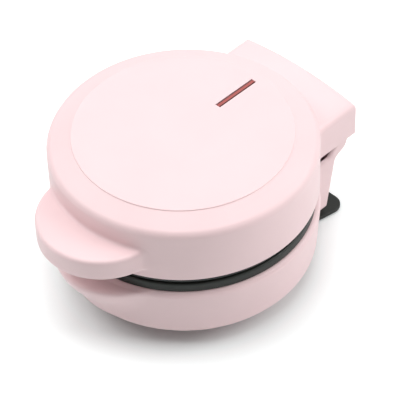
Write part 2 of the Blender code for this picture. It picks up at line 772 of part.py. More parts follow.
def gland_place(height):
    """Point on the tower's sloping rear face at a height, as (y, z) in the round body's frame."""
    return TOWER_HEEL + math.tan(TOWER_SLOPE) * (height - BASE_BOTTOM), height


def gland_turned(name, profile):
    """Turn a profile about the rear wall's own normal: heights run outward from the outer face."""
    y, z = gland_place(GLAND_HEIGHT)
    tilt = -math.pi / 2 - TOWER_SLOPE
    return turned(name, profile, SMALL_SEGMENTS, (0, AXIS_Y + y, z), (tilt, 0, 0))


def add_base_bosses(shell):
    """Screw bosses that stand on the base's floor, with sunk holes from below."""
    low = BASE_BOTTOM + WALL / 2
    high = BASE_FLOOR + SCREW_BOSS_HEIGHT
    base_boss = rod_profile(SCREW_SINK_RADIUS + SCREW_BOSS_WALL / 2, low, high)
    wrap_boss = rod_profile(SCREW_PILOT_RADIUS + SCREW_BOSS_WALL, low, high - CLEARANCE)
    fuse(shell, turned_set("base_bosses", base_boss, BASE_SCREW_PLACES))
    fuse(shell, turned_set("wrap_bosses", wrap_boss, WRAP_SCREW_PLACES))
    bottom = BASE_BOTTOM - OVERRUN
    sink = BASE_BOTTOM + SCREW_HEAD_HEIGHT + CLEARANCE
    base_hole = stepped_profile(SCREW_SINK_RADIUS, SCREW_PASS_RADIUS, bottom, sink, high + OVERRUN)
    cut(shell, turned_set("base_holes", base_hole, BASE_SCREW_PLACES))
    wrap_pilot = rod_profile(SCREW_PILOT_RADIUS, bottom, high + OVERRUN)
    cut(shell, turned_set("wrap_pilots", wrap_pilot, WRAP_SCREW_PLACES))


def make_base_shell():
    """Pink base moulding: bowl, grip tab, hinge tower with two ears, screw bosses."""
    shell = base_outer()
    fuse(shell, grip_outer(), tower_outer())
    cut(shell, base_cavity(), grip_cavity(), tower_cavity())
    slot = block(
        "hinge_slot",
        (-EAR_INNER, HOOD_FRONT, SLOT_FLOOR),
        (EAR_INNER, HOOD_REACH + OVERRUN, HINGE_HEIGHT + BARREL_RADIUS + OVERRUN))
    cut(shell, slot)
    reach = TOWER_HALF_WIDTH - EAR_CAP + GAP
    cut(shell, pin_bore("ear_bore", -reach, reach))
    gland_hole = gland_turned("gland_hole", rod_profile(GLAND_NECK_RADIUS + GAP, -WALL - OVERRUN, OVERRUN))
    sleeve_hole = rod(
        "sleeve_hole", SLEEVE_RADIUS + GAP, SLOT_FLOOR - TOWER_ROOF - OVERRUN, SLOT_FLOOR + OVERRUN,
        0, SLEEVE_OFFSET)
    cut(shell, gland_hole, sleeve_hole)
    add_base_bosses(shell)
    return shell


def make_base_trim_ring():
    """Black ring on the base's rim: it carries the lower plate and takes the base screws."""
    seat = BASE_RIM + GAP
    lip_outer = BASE_MOUTH_RADIUS - CLEARANCE
    lip_inner = lip_outer - RING_LIP_THICKNESS
    lip_bottom = BASE_RIM - RING_LIP_DEPTH + GAP
    profile = rounded([
        (RING_OUTER_RADIUS, seat),
        (RING_OUTER_RADIUS, RING_TOP, RING_EDGE),
        (SEAT_RADIUS, RING_TOP, RING_EDGE / 2),
        (SEAT_RADIUS, PLATE_SEAT),
        (LEDGE_RADIUS, PLATE_SEAT),
        (LEDGE_RADIUS, LEDGE_BACK),
        (lip_inner, LEDGE_BACK),
        (lip_inner, lip_bottom),
        (lip_outer, lip_bottom),
        (lip_outer, seat),
    ])
    ring = turned("base_trim_ring", profile)
    low = BASE_FLOOR + SCREW_BOSS_HEIGHT + GAP
    high = (LEDGE_BACK + PLATE_SEAT) / 2
    fuse(ring, turned_set("ring_bosses", rod_profile(RING_BOSS_RADIUS, low, high), BASE_SCREW_PLACES))
    pilot = rod_profile(SCREW_PILOT_RADIUS, low - OVERRUN, low + SCREW_GRIP)
    cut(ring, turned_set("ring_pilots", pilot, BASE_SCREW_PLACES))
    return ring


def make_lid_trim_ring():
    """Black ring inside the lid: it carries the upper plate and takes the lid screws."""
    outer = LID_INNER_RADIUS - GAP
    bottom = LID_RING_BOTTOM
    profile = rounded([
        (outer, bottom, RING_EDGE / 2),
        (outer, mirrored(LEDGE_BACK)),
        (LEDGE_RADIUS, mirrored(LEDGE_BACK)),
        (LEDGE_RADIUS, mirrored(PLATE_SEAT)),
        (SEAT_RADIUS, mirrored(PLATE_SEAT)),
        (SEAT_RADIUS, bottom, RING_EDGE / 2),
    ])
    ring = turned("lid_trim_ring", profile)
    sink = bottom + SCREW_HEAD_HEIGHT + CLEARANCE
    hole = stepped_profile(
        SCREW_SINK_RADIUS, SCREW_PASS_RADIUS, bottom - OVERRUN, sink, mirrored(LEDGE_BACK) + OVERRUN)
    cut(ring, turned_set("lid_screw_holes", hole, LID_SCREW_PLACES))
    return ring


def stud_field(name, upper):
    """Square tapered studs of a waffle plate, before they are trimmed to its round floor."""
    sink = PLATE_FLOOR / 2
    top = PARTING - WAFFLE_WEB / 2
    rise = top - PLATE_PIT
    flare = STUD_DRAFT / rise
    stud_base = STUD_PITCH - STUD_GROOVE
    stud_top = stud_base - STUD_DRAFT
    reach = int(STUD_FIELD_RADIUS / STUD_PITCH)
    form = bmesh.new()
    for column in range(-reach, reach + 1):
        for row in range(-reach, reach + 1):
            x = column * STUD_PITCH
            y = row * STUD_PITCH
            if math.hypot(x, y) > STUD_FIELD_RADIUS:
                continue
            levels = []
            for height, width in ((PLATE_PIT - sink, stud_base + flare * sink), (top, stud_top)):
                level = mirrored(height) if upper else height
                half = width / 2
                corners = ((-half, -half), (half, -half), (half, half), (-half, half))
                levels.append([form.verts.new((x + dx, y + dy, level)) for dx, dy in corners])
            form.faces.new(levels[0])
            form.faces.new(levels[1])
            for side in range(4):
                after = (side + 1) % 4
                form.faces.new((levels[0][side], levels[0][after], levels[1][after], levels[1][side]))
    return add_object(name, form)


def make_waffle_plate(name, upper):
    """Cast plate: a dish with a flange, studs on its face and a boss on its back."""
    profile = rounded([
        (0, PLATE_PIT),
        (PLATE_FLOOR_RADIUS, PLATE_PIT, PLATE_FLOOR / 2),
        (COOKING_RADIUS, PLATE_RIM, RING_EDGE),
        (PLATE_RADIUS, PLATE_RIM),
        (PLATE_RADIUS, PLATE_RIM - PLATE_FLANGE),
        (LEDGE_RADIUS - CLEARANCE, PLATE_RIM - PLATE_FLANGE),
        (LEDGE_RADIUS - PLATE_FLOOR, PLATE_BACK, PLATE_FLOOR / 2),
        (0, PLATE_BACK),
    ], 2)
    plate = turned(name, facing(profile, upper), PLATE_SEGMENTS)
    studs = stud_field(f"{name}_studs", upper)
    field = rod_profile(STUD_FIELD_RADIUS, PLATE_BACK + GAP, PARTING)
    combine(studs, turned(f"{name}_field", facing(field, upper), PLATE_SEGMENTS), "INTERSECT")
    fuse(plate, studs)
    boss = rod_profile(PLATE_BOSS_RADIUS, PLATE_BACK + PLATE_FLOOR / 2, CLAMP_TOP + GAP)
    fuse(plate, turned(f"{name}_boss", facing(boss, upper), SMALL_SEGMENTS))
    pilot = rod_profile(SCREW_PILOT_RADIUS, PLATE_BACK + GAP, CLAMP_TOP - OVERRUN)
    cut(plate, turned(f"{name}_pilot", facing(pilot, upper), SMALL_SEGMENTS))
    return plate


def element_angles():
    """Start and end angle of the element's loop. Its tails pass on both sides of the lamp holder."""
    tail = HOLDER_WIDTH / 2 + ELEMENT_RADIUS + TAIL_MARGIN
    half_gap = math.degrees(
        math.asin(tail / math.hypot(ELEMENT_CIRCLE, ELEMENT_BEND)) + math.atan(ELEMENT_BEND / ELEMENT_CIRCLE))
    return 90 + half_gap, 450 - half_gap


def make_element(name, upper):
    """Tubular heating element: an open loop whose two tails bend away from the plate."""
    start, end = element_angles()
    loop = arc((0, 0), ELEMENT_CIRCLE, start, end, ELEMENT_STEPS)
    points = [(x, y, ELEMENT_HEIGHT) for x, y in loop]

    def tail(point, angle, direction):
        heading = math.radians(angle)
        step = Vector((-math.sin(heading), math.cos(heading), 0)) * direction
        corner = Vector(point) + step * ELEMENT_BEND
        bends = []
        for step_number in range(1, BEND_STEPS + 1):
            turn = math.pi / 2 * step_number / BEND_STEPS
            along = ELEMENT_BEND * math.sin(turn)
            drop = ELEMENT_BEND * (1 - math.cos(turn))
            bends.append(Vector(point) + step * along - Vector((0, 0, drop)))
        bends.append(corner - Vector((0, 0, ELEMENT_TAIL)))
        return [tuple(bend) for bend in bends]

    points = tail(points[0], start, -1)[::-1] + points + tail(points[-1], end, 1)
    if upper:
        points = [(x, y, mirrored(z)) for x, y, z in points]
    return tube(name, points, ELEMENT_RADIUS)


def make_clamp(name, upper):
    """Steel bar that presses the element against the plate."""
    half = CLAMP_WIDTH / 2
    reach = ELEMENT_CIRCLE + CLAMP_OVERHANG
    corner = half / 2
    outline = rounded([
        (-reach, -half, corner), (reach, -half, corner), (reach, half, corner), (-reach, half, corner)])
    low, high = span(CLAMP_TOP - CLAMP_THICKNESS, CLAMP_TOP, upper)
    clamp = extruded(name, outline, low, high)
    hole = rod(f"{name}_hole", SCREW_PASS_RADIUS, low - OVERRUN, high + OVERRUN, 0, 0)
    cut(clamp, hole)
    return clamp


def screw_profile(head_at, length, upward):
    """Profile of a screw whose head starts at a height and whose shank runs up or down."""
    sign = 1 if upward else -1
    neck = head_at + sign * SCREW_HEAD_HEIGHT
    tip = neck + sign * length
    return [
        (0, head_at), (SCREW_HEAD_RADIUS, head_at), (SCREW_HEAD_RADIUS, neck),
        (SCREW_RADIUS, neck), (SCREW_RADIUS, tip - sign * SCREW_RADIUS), (0, tip)]


def make_screw(name, head_at, length, upward, x, y):
    """A pan-head screw."""
    return turned(name, screw_profile(head_at, length, upward), SMALL_SEGMENTS, (x, AXIS_Y + y, 0))


def make_clamp_screw(name, upper):
    """Screw that holds the clamp to the plate's boss."""
    length = PLATE_BACK - CLAMP_SCREW_HEAD - SCREW_HEAD_HEIGHT - GAP
    if upper:
        return make_screw(name, mirrored(CLAMP_SCREW_HEAD), length, False, 0, 0)
    return make_screw(name, CLAMP_SCREW_HEAD, length, True, 0, 0)


def make_heat_shield(name, upper):
    """Thin steel dish behind the element, with two holes for its tails."""
    thin = SHIELD_THICKNESS
    profile = facing([
        (SHIELD_FLANGE_RADIUS, SHIELD_TOP - thin),
        (SHIELD_MOUTH_RADIUS, SHIELD_TOP - thin),
        (SHIELD_FLOOR_RADIUS, SHIELD_BOTTOM),
        (0, SHIELD_BOTTOM),
        (0, SHIELD_BOTTOM + thin),
        (SHIELD_FLOOR_RADIUS - thin / 2, SHIELD_BOTTOM + thin),
        (SHIELD_MOUTH_RADIUS - thin, SHIELD_TOP),
        (SHIELD_FLANGE_RADIUS, SHIELD_TOP),
    ], upper)
    shield = turned(name, profile, PLATE_SEGMENTS)
    start, end = element_angles()
    low, high = span(SHIELD_BOTTOM - OVERRUN, SHIELD_BOTTOM + OVERRUN, upper)
    for index, (angle, direction) in enumerate(((start, -1), (end, 1))):
        heading = math.radians(angle)
        x = ELEMENT_CIRCLE * math.cos(heading) - math.sin(heading) * direction * ELEMENT_BEND
        y = ELEMENT_CIRCLE * math.sin(heading) + math.cos(heading) * direction * ELEMENT_BEND
        cut(shield, rod(f"{name}_hole_{index}", ELEMENT_RADIUS + CLEARANCE, low, high, x, y))
    return shield


def make_thermostat():
    """Round bimetal thermostat against the lower plate's back, with two terminal tabs."""
    bottom = THERMOSTAT_BOTTOM
    body = rod("thermostat", THERMOSTAT_RADIUS, bottom, PLATE_BACK - GAP, 0, THERMOSTAT_OFFSET)
    half = THERMOSTAT_TAB_WIDTH / 2
    thin = THERMOSTAT_TAB_THICKNESS / 2
    for side in (-1, 1):
        x = side * THERMOSTAT_RADIUS / 2
        fuse(body, block(
            f"thermostat_tab_{side}",
            (x - thin, THERMOSTAT_OFFSET - half, bottom - THERMOSTAT_TAB),
            (x + thin, THERMOSTAT_OFFSET + half, bottom + thin)))
    return body


def make_thermal_fuse():
    """Thermal fuse in its clip, against the lower plate's back."""
    height = PLATE_BACK - GAP - FUSE_RADIUS - SHIELD_THICKNESS
    reach = FUSE_LENGTH / 2
    profile = [(0, -reach), (FUSE_RADIUS / 2, -reach), (FUSE_RADIUS, -reach + FUSE_RADIUS / 2),
               (FUSE_RADIUS, reach - FUSE_RADIUS / 2), (FUSE_RADIUS / 2, reach), (0, reach)]
    fuse_body = turned("thermal_fuse", profile, SMALL_SEGMENTS,
                       (0, AXIS_Y - FUSE_OFFSET, height), ALONG_X)
    half = FUSE_CLIP_WIDTH / 2
    side = FUSE_RADIUS + SHIELD_THICKNESS
    fuse(fuse_body, block(
        "fuse_clip",
        (-half, -FUSE_OFFSET - side, height - side),
        (half, -FUSE_OFFSET + side, PLATE_BACK - GAP)))
    return fuse_body


def make_terminal_block():
    """Two-way terminal block on the base's floor."""
    width, depth, height = TERMINAL_BLOCK_SIZE
    low = BASE_FLOOR + GAP
    body = block(
        "terminal_block",
        (-width / 2, TERMINAL_BLOCK_OFFSET - depth / 2, low),
        (width / 2, TERMINAL_BLOCK_OFFSET + depth / 2, low + height))
    for side in (-1, 1):
        hole = turned(
            f"terminal_hole_{side}", rod_profile(TERMINAL_HOLE_RADIUS, -depth, depth), SMALL_SEGMENTS,
            (side * width / 4, AXIS_Y + TERMINAL_BLOCK_OFFSET, low + height / 2), ALONG_Y)
        cut(body, hole)
    return body


def make_cord_gland():
    """Rubber gland in the tower's rear wall, with the bore that a cord would take."""
    inner = -WALL * math.cos(TOWER_SLOPE) - CLEARANCE
    profile = [
        (GLAND_BORE_RADIUS, inner - GLAND_NUT),
        (GLAND_FLANGE_RADIUS, inner - GLAND_NUT),
        (GLAND_FLANGE_RADIUS, inner),
        (GLAND_NECK_RADIUS, inner),
        (GLAND_NECK_RADIUS, GAP),
        (GLAND_FLANGE_RADIUS, GAP),
        (GLAND_FLANGE_RADIUS, GLAND_FLANGE),
        (GLAND_BORE_RADIUS, GLAND_FLANGE),
    ]
    return gland_turned("cord_gland", profile)


def make_wire_sleeve():
    """Rubber sleeve that leads the lid's wires from the tower to the hinge axis."""
    low = SLOT_FLOOR - TOWER_ROOF - SLEEVE_TAIL
    corner = Vector((0, SLEEVE_OFFSET, SLOT_FLOOR + GAP))
    target = Vector((0, HINGE_OFFSET, HINGE_HEIGHT))
    points = [(0, SLEEVE_OFFSET, low), tuple(corner)]
    for share in SLEEVE_SHARES:
        bend = corner.lerp(target, share)
        points.append((0, corner.y + (target.y - corner.y) * share * share, bend.z))
    points.append((0, HINGE_OFFSET + SLEEVE_HEAD / 2, HINGE_HEIGHT + SLEEVE_HEAD))
    return tube("hinge_wire_sleeve", points, SLEEVE_RADIUS)


def make_hinge_pin(side):
    """Headed steel pin through a lug of the lid into an ear of the base."""
    head_end = LUG_INNER - GAP
    head_start = head_end - PIN_HEAD_THICKNESS
    tip = TOWER_HALF_WIDTH - EAR_CAP
    profile = [
        (0, head_start), (PIN_HEAD_RADIUS, head_start), (PIN_HEAD_RADIUS, head_end),
        (PIN_RADIUS, head_end), (PIN_RADIUS, tip), (0, tip)]
    name = "hinge_pin_right" if side > 0 else "hinge_pin_left"
    return turned(name, profile, SMALL_SEGMENTS, (0, HINGE_Y, HINGE_HEIGHT), (0, side * math.pi / 2, 0))


def make_indicator_window():
    """Dark red lens: a tongue in the lid's opening on a flange below the ceiling."""
    flange_top = LID_CEILING - GAP
    flange_half = LENS_FLANGE_WIDTH / 2
    lens = block(
        "indicator_window",
        (-flange_half, WINDOW_FRONT - LENS_FLANGE_MARGIN, flange_top - LENS_FLANGE_THICKNESS),
        (flange_half, WINDOW_BACK + LENS_FLANGE_MARGIN, flange_top))
    half = WINDOW_HALF_WIDTH - GAP
    tongue = block(
        "lens_tongue",
        (-half, WINDOW_FRONT + GAP, flange_top - LENS_FLANGE_THICKNESS / 2),
        (half, WINDOW_BACK - GAP, LID_TOP - WINDOW_RECESS))
    fuse(lens, tongue)
    return lens


def window_middle():
    """Place of the window's middle along Y."""
    return (WINDOW_FRONT + WINDOW_BACK) / 2


def holder_heights():
    """Bottom and top of the lamp holder, between the heat shield and the lens."""
    bottom = mirrored(SHIELD_BOTTOM) + GAP
    top = LID_CEILING - 2 * GAP - LENS_FLANGE_THICKNESS
    return bottom, top


def make_lamp_holder():
    """Open trough under the lens, with two ribs that carry the lamp."""
    bottom, top = holder_heights()
    middle = window_middle()
    half = HOLDER_WIDTH / 2
    reach = WINDOW_LENGTH / 2 + HOLDER_MARGIN
    holder = block("lamp_holder", (-half, middle - reach, bottom), (half, middle + reach, top))
    cut(holder, block(
        "holder_hollow",
        (-half + HOLDER_WALL, middle - reach + HOLDER_WALL, bottom + HOLDER_WALL),
        (half - HOLDER_WALL, middle + reach - HOLDER_WALL, top + OVERRUN)))
    lamp_bottom = (bottom + top) / 2 - LAMP_RADIUS
    for side in (-1, 1):
        y = middle + side * LAMP_LENGTH / 3
        fuse(holder, block(
            f"holder_rib_{side}",
            (-half + HOLDER_WALL / 2, y - HOLDER_RIB / 2, bottom + HOLDER_WALL / 2),
            (half - HOLDER_WALL / 2, y + HOLDER_RIB / 2, lamp_bottom - GAP)))
    return holder


def make_indicator_lamp():
    """Small neon lamp that lies in the holder."""
    bottom, top = holder_heights()
    reach = LAMP_LENGTH / 2
    profile = [(0, -reach), (LAMP_RADIUS, -reach), (LAMP_RADIUS, reach - LAMP_RADIUS),
               (LAMP_RADIUS * math.cos(math.pi / 4), reach - LAMP_RADIUS / 3), (0, reach)]
    return turned("indicator_lamp", profile, SMALL_SEGMENTS,
                  (0, AXIS_Y + window_middle(), (bottom + top) / 2), ALONG_Y)


def wrap_outline():
    """Outline of the foot plate: two broad rounded ends and a narrower waist."""
    rear = WRAP_REAR_REACH
    right = [
        (WRAP_REAR_HALF_WIDTH, rear, WRAP_CORNER),
        (WRAP_REAR_HALF_WIDTH - WRAP_REAR_TAPER, rear - WRAP_REAR_LENGTH, WRAP_CORNER),
        (WRAP_WAIST_HALF_WIDTH, WRAP_WAIST_OFFSET, 2 * WRAP_CORNER),
        (WRAP_FRONT_HALF_WIDTH, -WRAP_FRONT_REACH, WRAP_CORNER),
    ]
    left = [(-x, y, radius) for x, y, radius in reversed(right)]
    return rounded(right + left, WRAP_CORNER_STEPS)


def foot_places():
    """Places of the four rubber feet, inside the corners of the foot plate."""
    inset = FOOT_RADIUS + FOOT_MARGIN
    rear_x = WRAP_REAR_HALF_WIDTH - WRAP_REAR_TAPER / 2 - inset
    front_x = WRAP_FRONT_HALF_WIDTH - inset - FOOT_MARGIN
    return [
        ("rear_left", -rear_x, WRAP_REAR_REACH - inset),
        ("rear_right", rear_x, WRAP_REAR_REACH - inset),
        ("front_left", -front_x, inset - WRAP_FRONT_REACH),
        ("front_right", front_x, inset - WRAP_FRONT_REACH),
    ]


def make_cord_wrap_foot():
    """Black foot plate with its pedestal, pockets for the feet and two sunk screw holes."""
    foot = extruded("cord_wrap_foot", wrap_outline(), FOOT_PROUD, WRAP_PLATE_TOP)
    half = PEDESTAL_HALF_WIDTH
    reach = PEDESTAL_HALF_LENGTH
    pedestal = extruded("pedestal", rounded([
        (-half, -reach, PEDESTAL_CORNER), (half, -reach, PEDESTAL_CORNER),
        (half, reach, PEDESTAL_CORNER), (-half, reach, PEDESTAL_CORNER)]),
        WRAP_PLATE_TOP - WRAP_PLATE_THICKNESS / 2, BASE_BOTTOM - GAP)
    fuse(foot, pedestal)
    bottom = FOOT_PROUD - OVERRUN
    pocket = rod_profile(FOOT_RADIUS + GAP, bottom, FOOT_PROUD + FOOT_POCKET_DEPTH)
    cut(foot, turned_set("foot_pockets", pocket, [(x, y) for _, x, y in foot_places()]))
    sink = FOOT_PROUD + SCREW_HEAD_HEIGHT + CLEARANCE
    hole = stepped_profile(SCREW_SINK_RADIUS, SCREW_PASS_RADIUS, bottom, sink, BASE_BOTTOM + OVERRUN)
    cut(foot, turned_set("wrap_screw_holes", hole, WRAP_SCREW_PLACES))
    return foot


def make_rubber_foot(name, x, y):
    """Rubber disc in its pocket, which the whole appliance stands on."""
    high = FOOT_PROUD + FOOT_POCKET_DEPTH - GAP
    profile = rounded([
        (0, 0), (FOOT_RADIUS, 0, FOOT_PROUD / 2), (FOOT_RADIUS, high), (0, high)], 1)
    return turned(f"rubber_foot_{name}", profile, SMALL_SEGMENTS, (x, AXIS_Y + y, 0))


def make_base_pieces():
    """Every piece that stays with the base."""
    pieces = {
        "pink": [make_base_shell()],
        "black": [make_base_trim_ring(), make_cord_wrap_foot(), make_terminal_block()],
        "coating": [make_waffle_plate("lower_waffle_plate", False)],
        "steel": [
            make_element("lower_heating_element", False), make_clamp("lower_element_clamp", False),
            make_clamp_screw("lower_clamp_screw", False), make_heat_shield("lower_heat_shield", False),
            make_thermal_fuse(), make_hinge_pin(-1), make_hinge_pin(1)],
        "rubber": [make_cord_gland(), make_wire_sleeve()],
        "brown": [make_thermostat()],
    }
    for name, x, y in foot_places():
        pieces["rubber"].append(make_rubber_foot(name, x, y))
    head = BASE_BOTTOM + CLEARANCE
    tip = BASE_FLOOR + SCREW_BOSS_HEIGHT + SCREW_GRIP - CLEARANCE
    length = tip - head - SCREW_HEAD_HEIGHT
    for index, (x, y) in enumerate(BASE_SCREW_PLACES):
        pieces["steel"].append(make_screw(f"base_screw_{index + 1}", head, length, True, x, y))
    head = FOOT_PROUD + CLEARANCE
    length = BASE_FLOOR + SCREW_BOSS_HEIGHT / 2 - head
    for index, (x, y) in enumerate(WRAP_SCREW_PLACES):
        pieces["steel"].append(make_screw(f"wrap_screw_{index + 1}", head, length, True, x, y))
    return pieces


def make_lid_pieces():
    """Every piece that swings with the lid."""
    pieces = {
        "pink": [make_lid_shell(), make_handle_cover()],
        "black": [make_lid_trim_ring(), make_lamp_holder()],
        "coating": [make_waffle_plate("upper_waffle_plate", True)],
        "steel": [
            make_element("upper_heating_element", True), make_clamp("upper_element_clamp", True),
            make_clamp_screw("upper_clamp_screw", True), make_heat_shield("upper_heat_shield", True)],
        "red": [make_indicator_window()],
        "glass": [make_indicator_lamp()],
    }
    head = LID_RING_BOTTOM + GAP
    length = mirrored(LEDGE_BACK) - head - SCREW_HEAD_HEIGHT + SCREW_GRIP - SCREW_RADIUS
    for index, (x, y) in enumerate(LID_SCREW_PLACES):
        pieces["steel"].append(make_screw(f"lid_screw_{index + 1}", head, length, True, x, y))
    return pieces


def hang(pieces, empty, finishes):
    """Give each piece its finish and hang it on its body's empty without moving it."""
    bpy.context.view_layer.update()
    for look, items in pieces.items():
        for item in items:
            item.data.materials.append(finishes[look])
            item.parent = empty
            item.matrix_parent_inverse = empty.matrix_world.inverted()


def add_empty(name, location):
    """An empty that a body's pieces hang on."""
    empty = bpy.data.objects.new(name, None)
    empty.location = location
    bpy.context.scene.collection.objects.link(empty)
    return empty


def main():
    """Build the waffle maker."""
    clear_scene()
    finishes = {
        "pink": finish("pink_plastic", (0.92, 0.74, 0.73), 0.42),
        "black": finish("black_plastic", (0.035, 0.036, 0.034), 0.45),
        "coating": finish("non_stick_coating", (0.03, 0.03, 0.032), 0.38),
        "steel": finish("bright_steel", (0.62, 0.62, 0.60), 0.30, 1.0),
        "rubber": finish("dark_rubber", (0.03, 0.03, 0.03), 0.80),
        "brown": finish("brown_phenolic", (0.13, 0.06, 0.035), 0.55),
        "red": finish("red_lens", (0.28, 0.05, 0.045), 0.25),
        "glass": finish("lamp_glass", (0.90, 0.62, 0.48), 0.10),
    }
    base = add_empty("base_body", (0, AXIS_Y, 0))
    lid = add_empty("lid_body", (0, HINGE_Y, HINGE_HEIGHT))
    hang(make_base_pieces(), base, finishes)
    hang(make_lid_pieces(), lid, finishes)


if __name__ == "__main__":
    main()
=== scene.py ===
"""Fine surfaces, finishes, light and camera for the mini waffle maker.

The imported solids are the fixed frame. Each piece made here stands for one of them, in metres,
with +Z up, the handle towards -Y and the hinge at +Y.
"""

import json
import math

import bmesh
import bpy
import numpy as np
from bpy.props import FloatProperty, FloatVectorProperty, PointerProperty
from mathutils import Matrix, Vector


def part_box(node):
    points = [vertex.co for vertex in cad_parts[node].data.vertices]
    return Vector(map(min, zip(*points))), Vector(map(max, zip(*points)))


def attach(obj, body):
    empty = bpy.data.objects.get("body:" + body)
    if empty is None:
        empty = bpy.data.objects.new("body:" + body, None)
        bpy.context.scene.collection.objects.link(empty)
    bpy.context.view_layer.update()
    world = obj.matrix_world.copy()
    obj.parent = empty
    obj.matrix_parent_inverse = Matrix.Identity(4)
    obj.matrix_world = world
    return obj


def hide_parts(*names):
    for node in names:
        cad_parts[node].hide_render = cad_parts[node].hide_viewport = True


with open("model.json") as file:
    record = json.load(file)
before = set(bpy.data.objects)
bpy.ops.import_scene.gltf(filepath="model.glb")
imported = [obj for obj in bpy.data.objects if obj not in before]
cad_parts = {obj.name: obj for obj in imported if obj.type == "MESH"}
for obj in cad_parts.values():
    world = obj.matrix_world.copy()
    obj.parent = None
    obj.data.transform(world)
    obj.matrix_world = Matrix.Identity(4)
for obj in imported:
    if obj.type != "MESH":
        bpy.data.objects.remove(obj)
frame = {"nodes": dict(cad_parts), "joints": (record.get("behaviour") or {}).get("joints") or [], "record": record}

bl_info = {
    "name": "Mini Waffle Maker",
    "version": (1, 0, 0),
    "blender": (4, 5, 0),
    "location": "3D View > Sidebar > Waffle Maker",
    "description": "Builds the fine pieces and finishes of a mini waffle maker around its solids",
    "category": "Object",
}

MM = 0.001

# How finely round forms are drawn
SHELL_SEGMENTS = 160
PLATE_SEGMENTS = 128
SMALL_SEGMENTS = 32
ARC_STEPS = 5
ROUND_STEPS = 3
STUD_SEGMENTS = 48
ELEMENT_STEPS = 72
SLEEVE_STEPS = 10
ROOF_STEPS = 8
LAMP_STEPS = 4
TUBE_STEPS = 5
HALVINGS = 30
SMOOTH_ANGLE = math.radians(32)
BEVEL_ANGLE = math.radians(35)
BARREL_TILT = math.radians(32)

# The casings' grids are finer in a sector round the handle and in one round the hinge
FINE_TURN = math.radians(0.5)
COARSE_TURN = math.radians(1.6)
HANDLE_SECTOR = math.radians(36)
LID_HINGE_SECTOR = math.radians(42)
BASE_HINGE_SECTOR = math.radians(37)

# Fits between pieces, and how far a cutter runs past what it cuts
GAP = 0.3 * MM
CLEARANCE = 0.5 * MM
OVERRUN = 2 * MM

# How a grid finds the surface of a rounded form
SETTLE_STEPS = 5
NUDGE = 0.01 * MM
LONGEST_STEP = 0.4 * MM
FLATTEST_SLOPE = 0.05

# Small sizes of fittings inside the casings
TAB_HALF = 2.4 * MM
TAB_THIN = 0.8 * MM
WIRE_HOLE = 1.8 * MM
HOLDER_WALL = 1.2 * MM
PIN_HEAD = 1.2 * MM
CLIP_THIN = 0.8 * MM

# Outline of a pan head from its middle: shares of its radius and of its height
PAN_HEAD = ((0, 0), (0.5, 0), (0.85, 0.14), (1, 0.45), (1, 0.9))
THREAD_CORE = 0.78
SCREW_TIP = 0.7
SCREW_SEGMENTS = 24

# The cross recess of a screw, as shares of its head's radius and height
RECESS_REACH = 0.62
RECESS_HALF = 0.13
RECESS_DEPTH = 0.6
RECESS_BEARING = 0.3

# The crimped ring of the thermal fuse: shares of its radius and of its half length
FUSE_CRIMP = ((1, -0.62), (0.8, -0.58), (0.8, -0.54), (1, -0.5))

# Shares of a fitting's own size
FUSE_CLIP_SHARE = 0.4
LAMP_BASE_SHARE = 0.7
SOLE_RING_SHARES = (0.45, 0.55)
PIN_TIP_SHARE = 0.75
BLOCK_TOWER_SHARE = 0.75
BLOCK_BODY_SHARE = 0.4

# Depth of the relief of a moulded grain and of drawn lines
GRAIN_DEPTH = 0.2 * MM
LINE_DEPTH = 0.1 * MM

# How far the roughness of a moulded plastic drifts to both sides of its middle
ROUGH_SPREAD = 0.05

# How much light the faces mirror, and how much passes through the lamp's glass
MOULDED_SHINE = 0.4
LENS_SHINE = 0.3
GLASS_CLARITY = 0.85

# The scale of the slow drift in roughness, as a share of the grain's
SLOW_SHARE = 0.03

# The span of values that smooth noise mostly takes
NOISE_LOW = 0.3
NOISE_HIGH = 0.7

ORIGIN = (0, 0, 0)
ALONG_X = (0, math.pi / 2, 0)
ALONG_Y = (math.pi / 2, 0, 0)
RUBBER_FEET = (
    "rubber_foot_rear_left", "rubber_foot_rear_right", "rubber_foot_front_left", "rubber_foot_front_right")


def length(label, millimetres, description):
    """A size that a user can change, in metres."""
    return FloatProperty(
        name=label, description=description, default=millimetres * MM, min=0, unit="LENGTH", precision=5)


def color(label, value, description):
    """A linear colour that a user can change."""
    return FloatVectorProperty(
        name=label, description=description, default=value, size=3, min=0, max=1, subtype="COLOR")


def share(label, value, description):
    """A plain factor that a user can change."""
    return FloatProperty(
        name=label, description=description, default=value, min=0, soft_max=1, subtype="FACTOR")


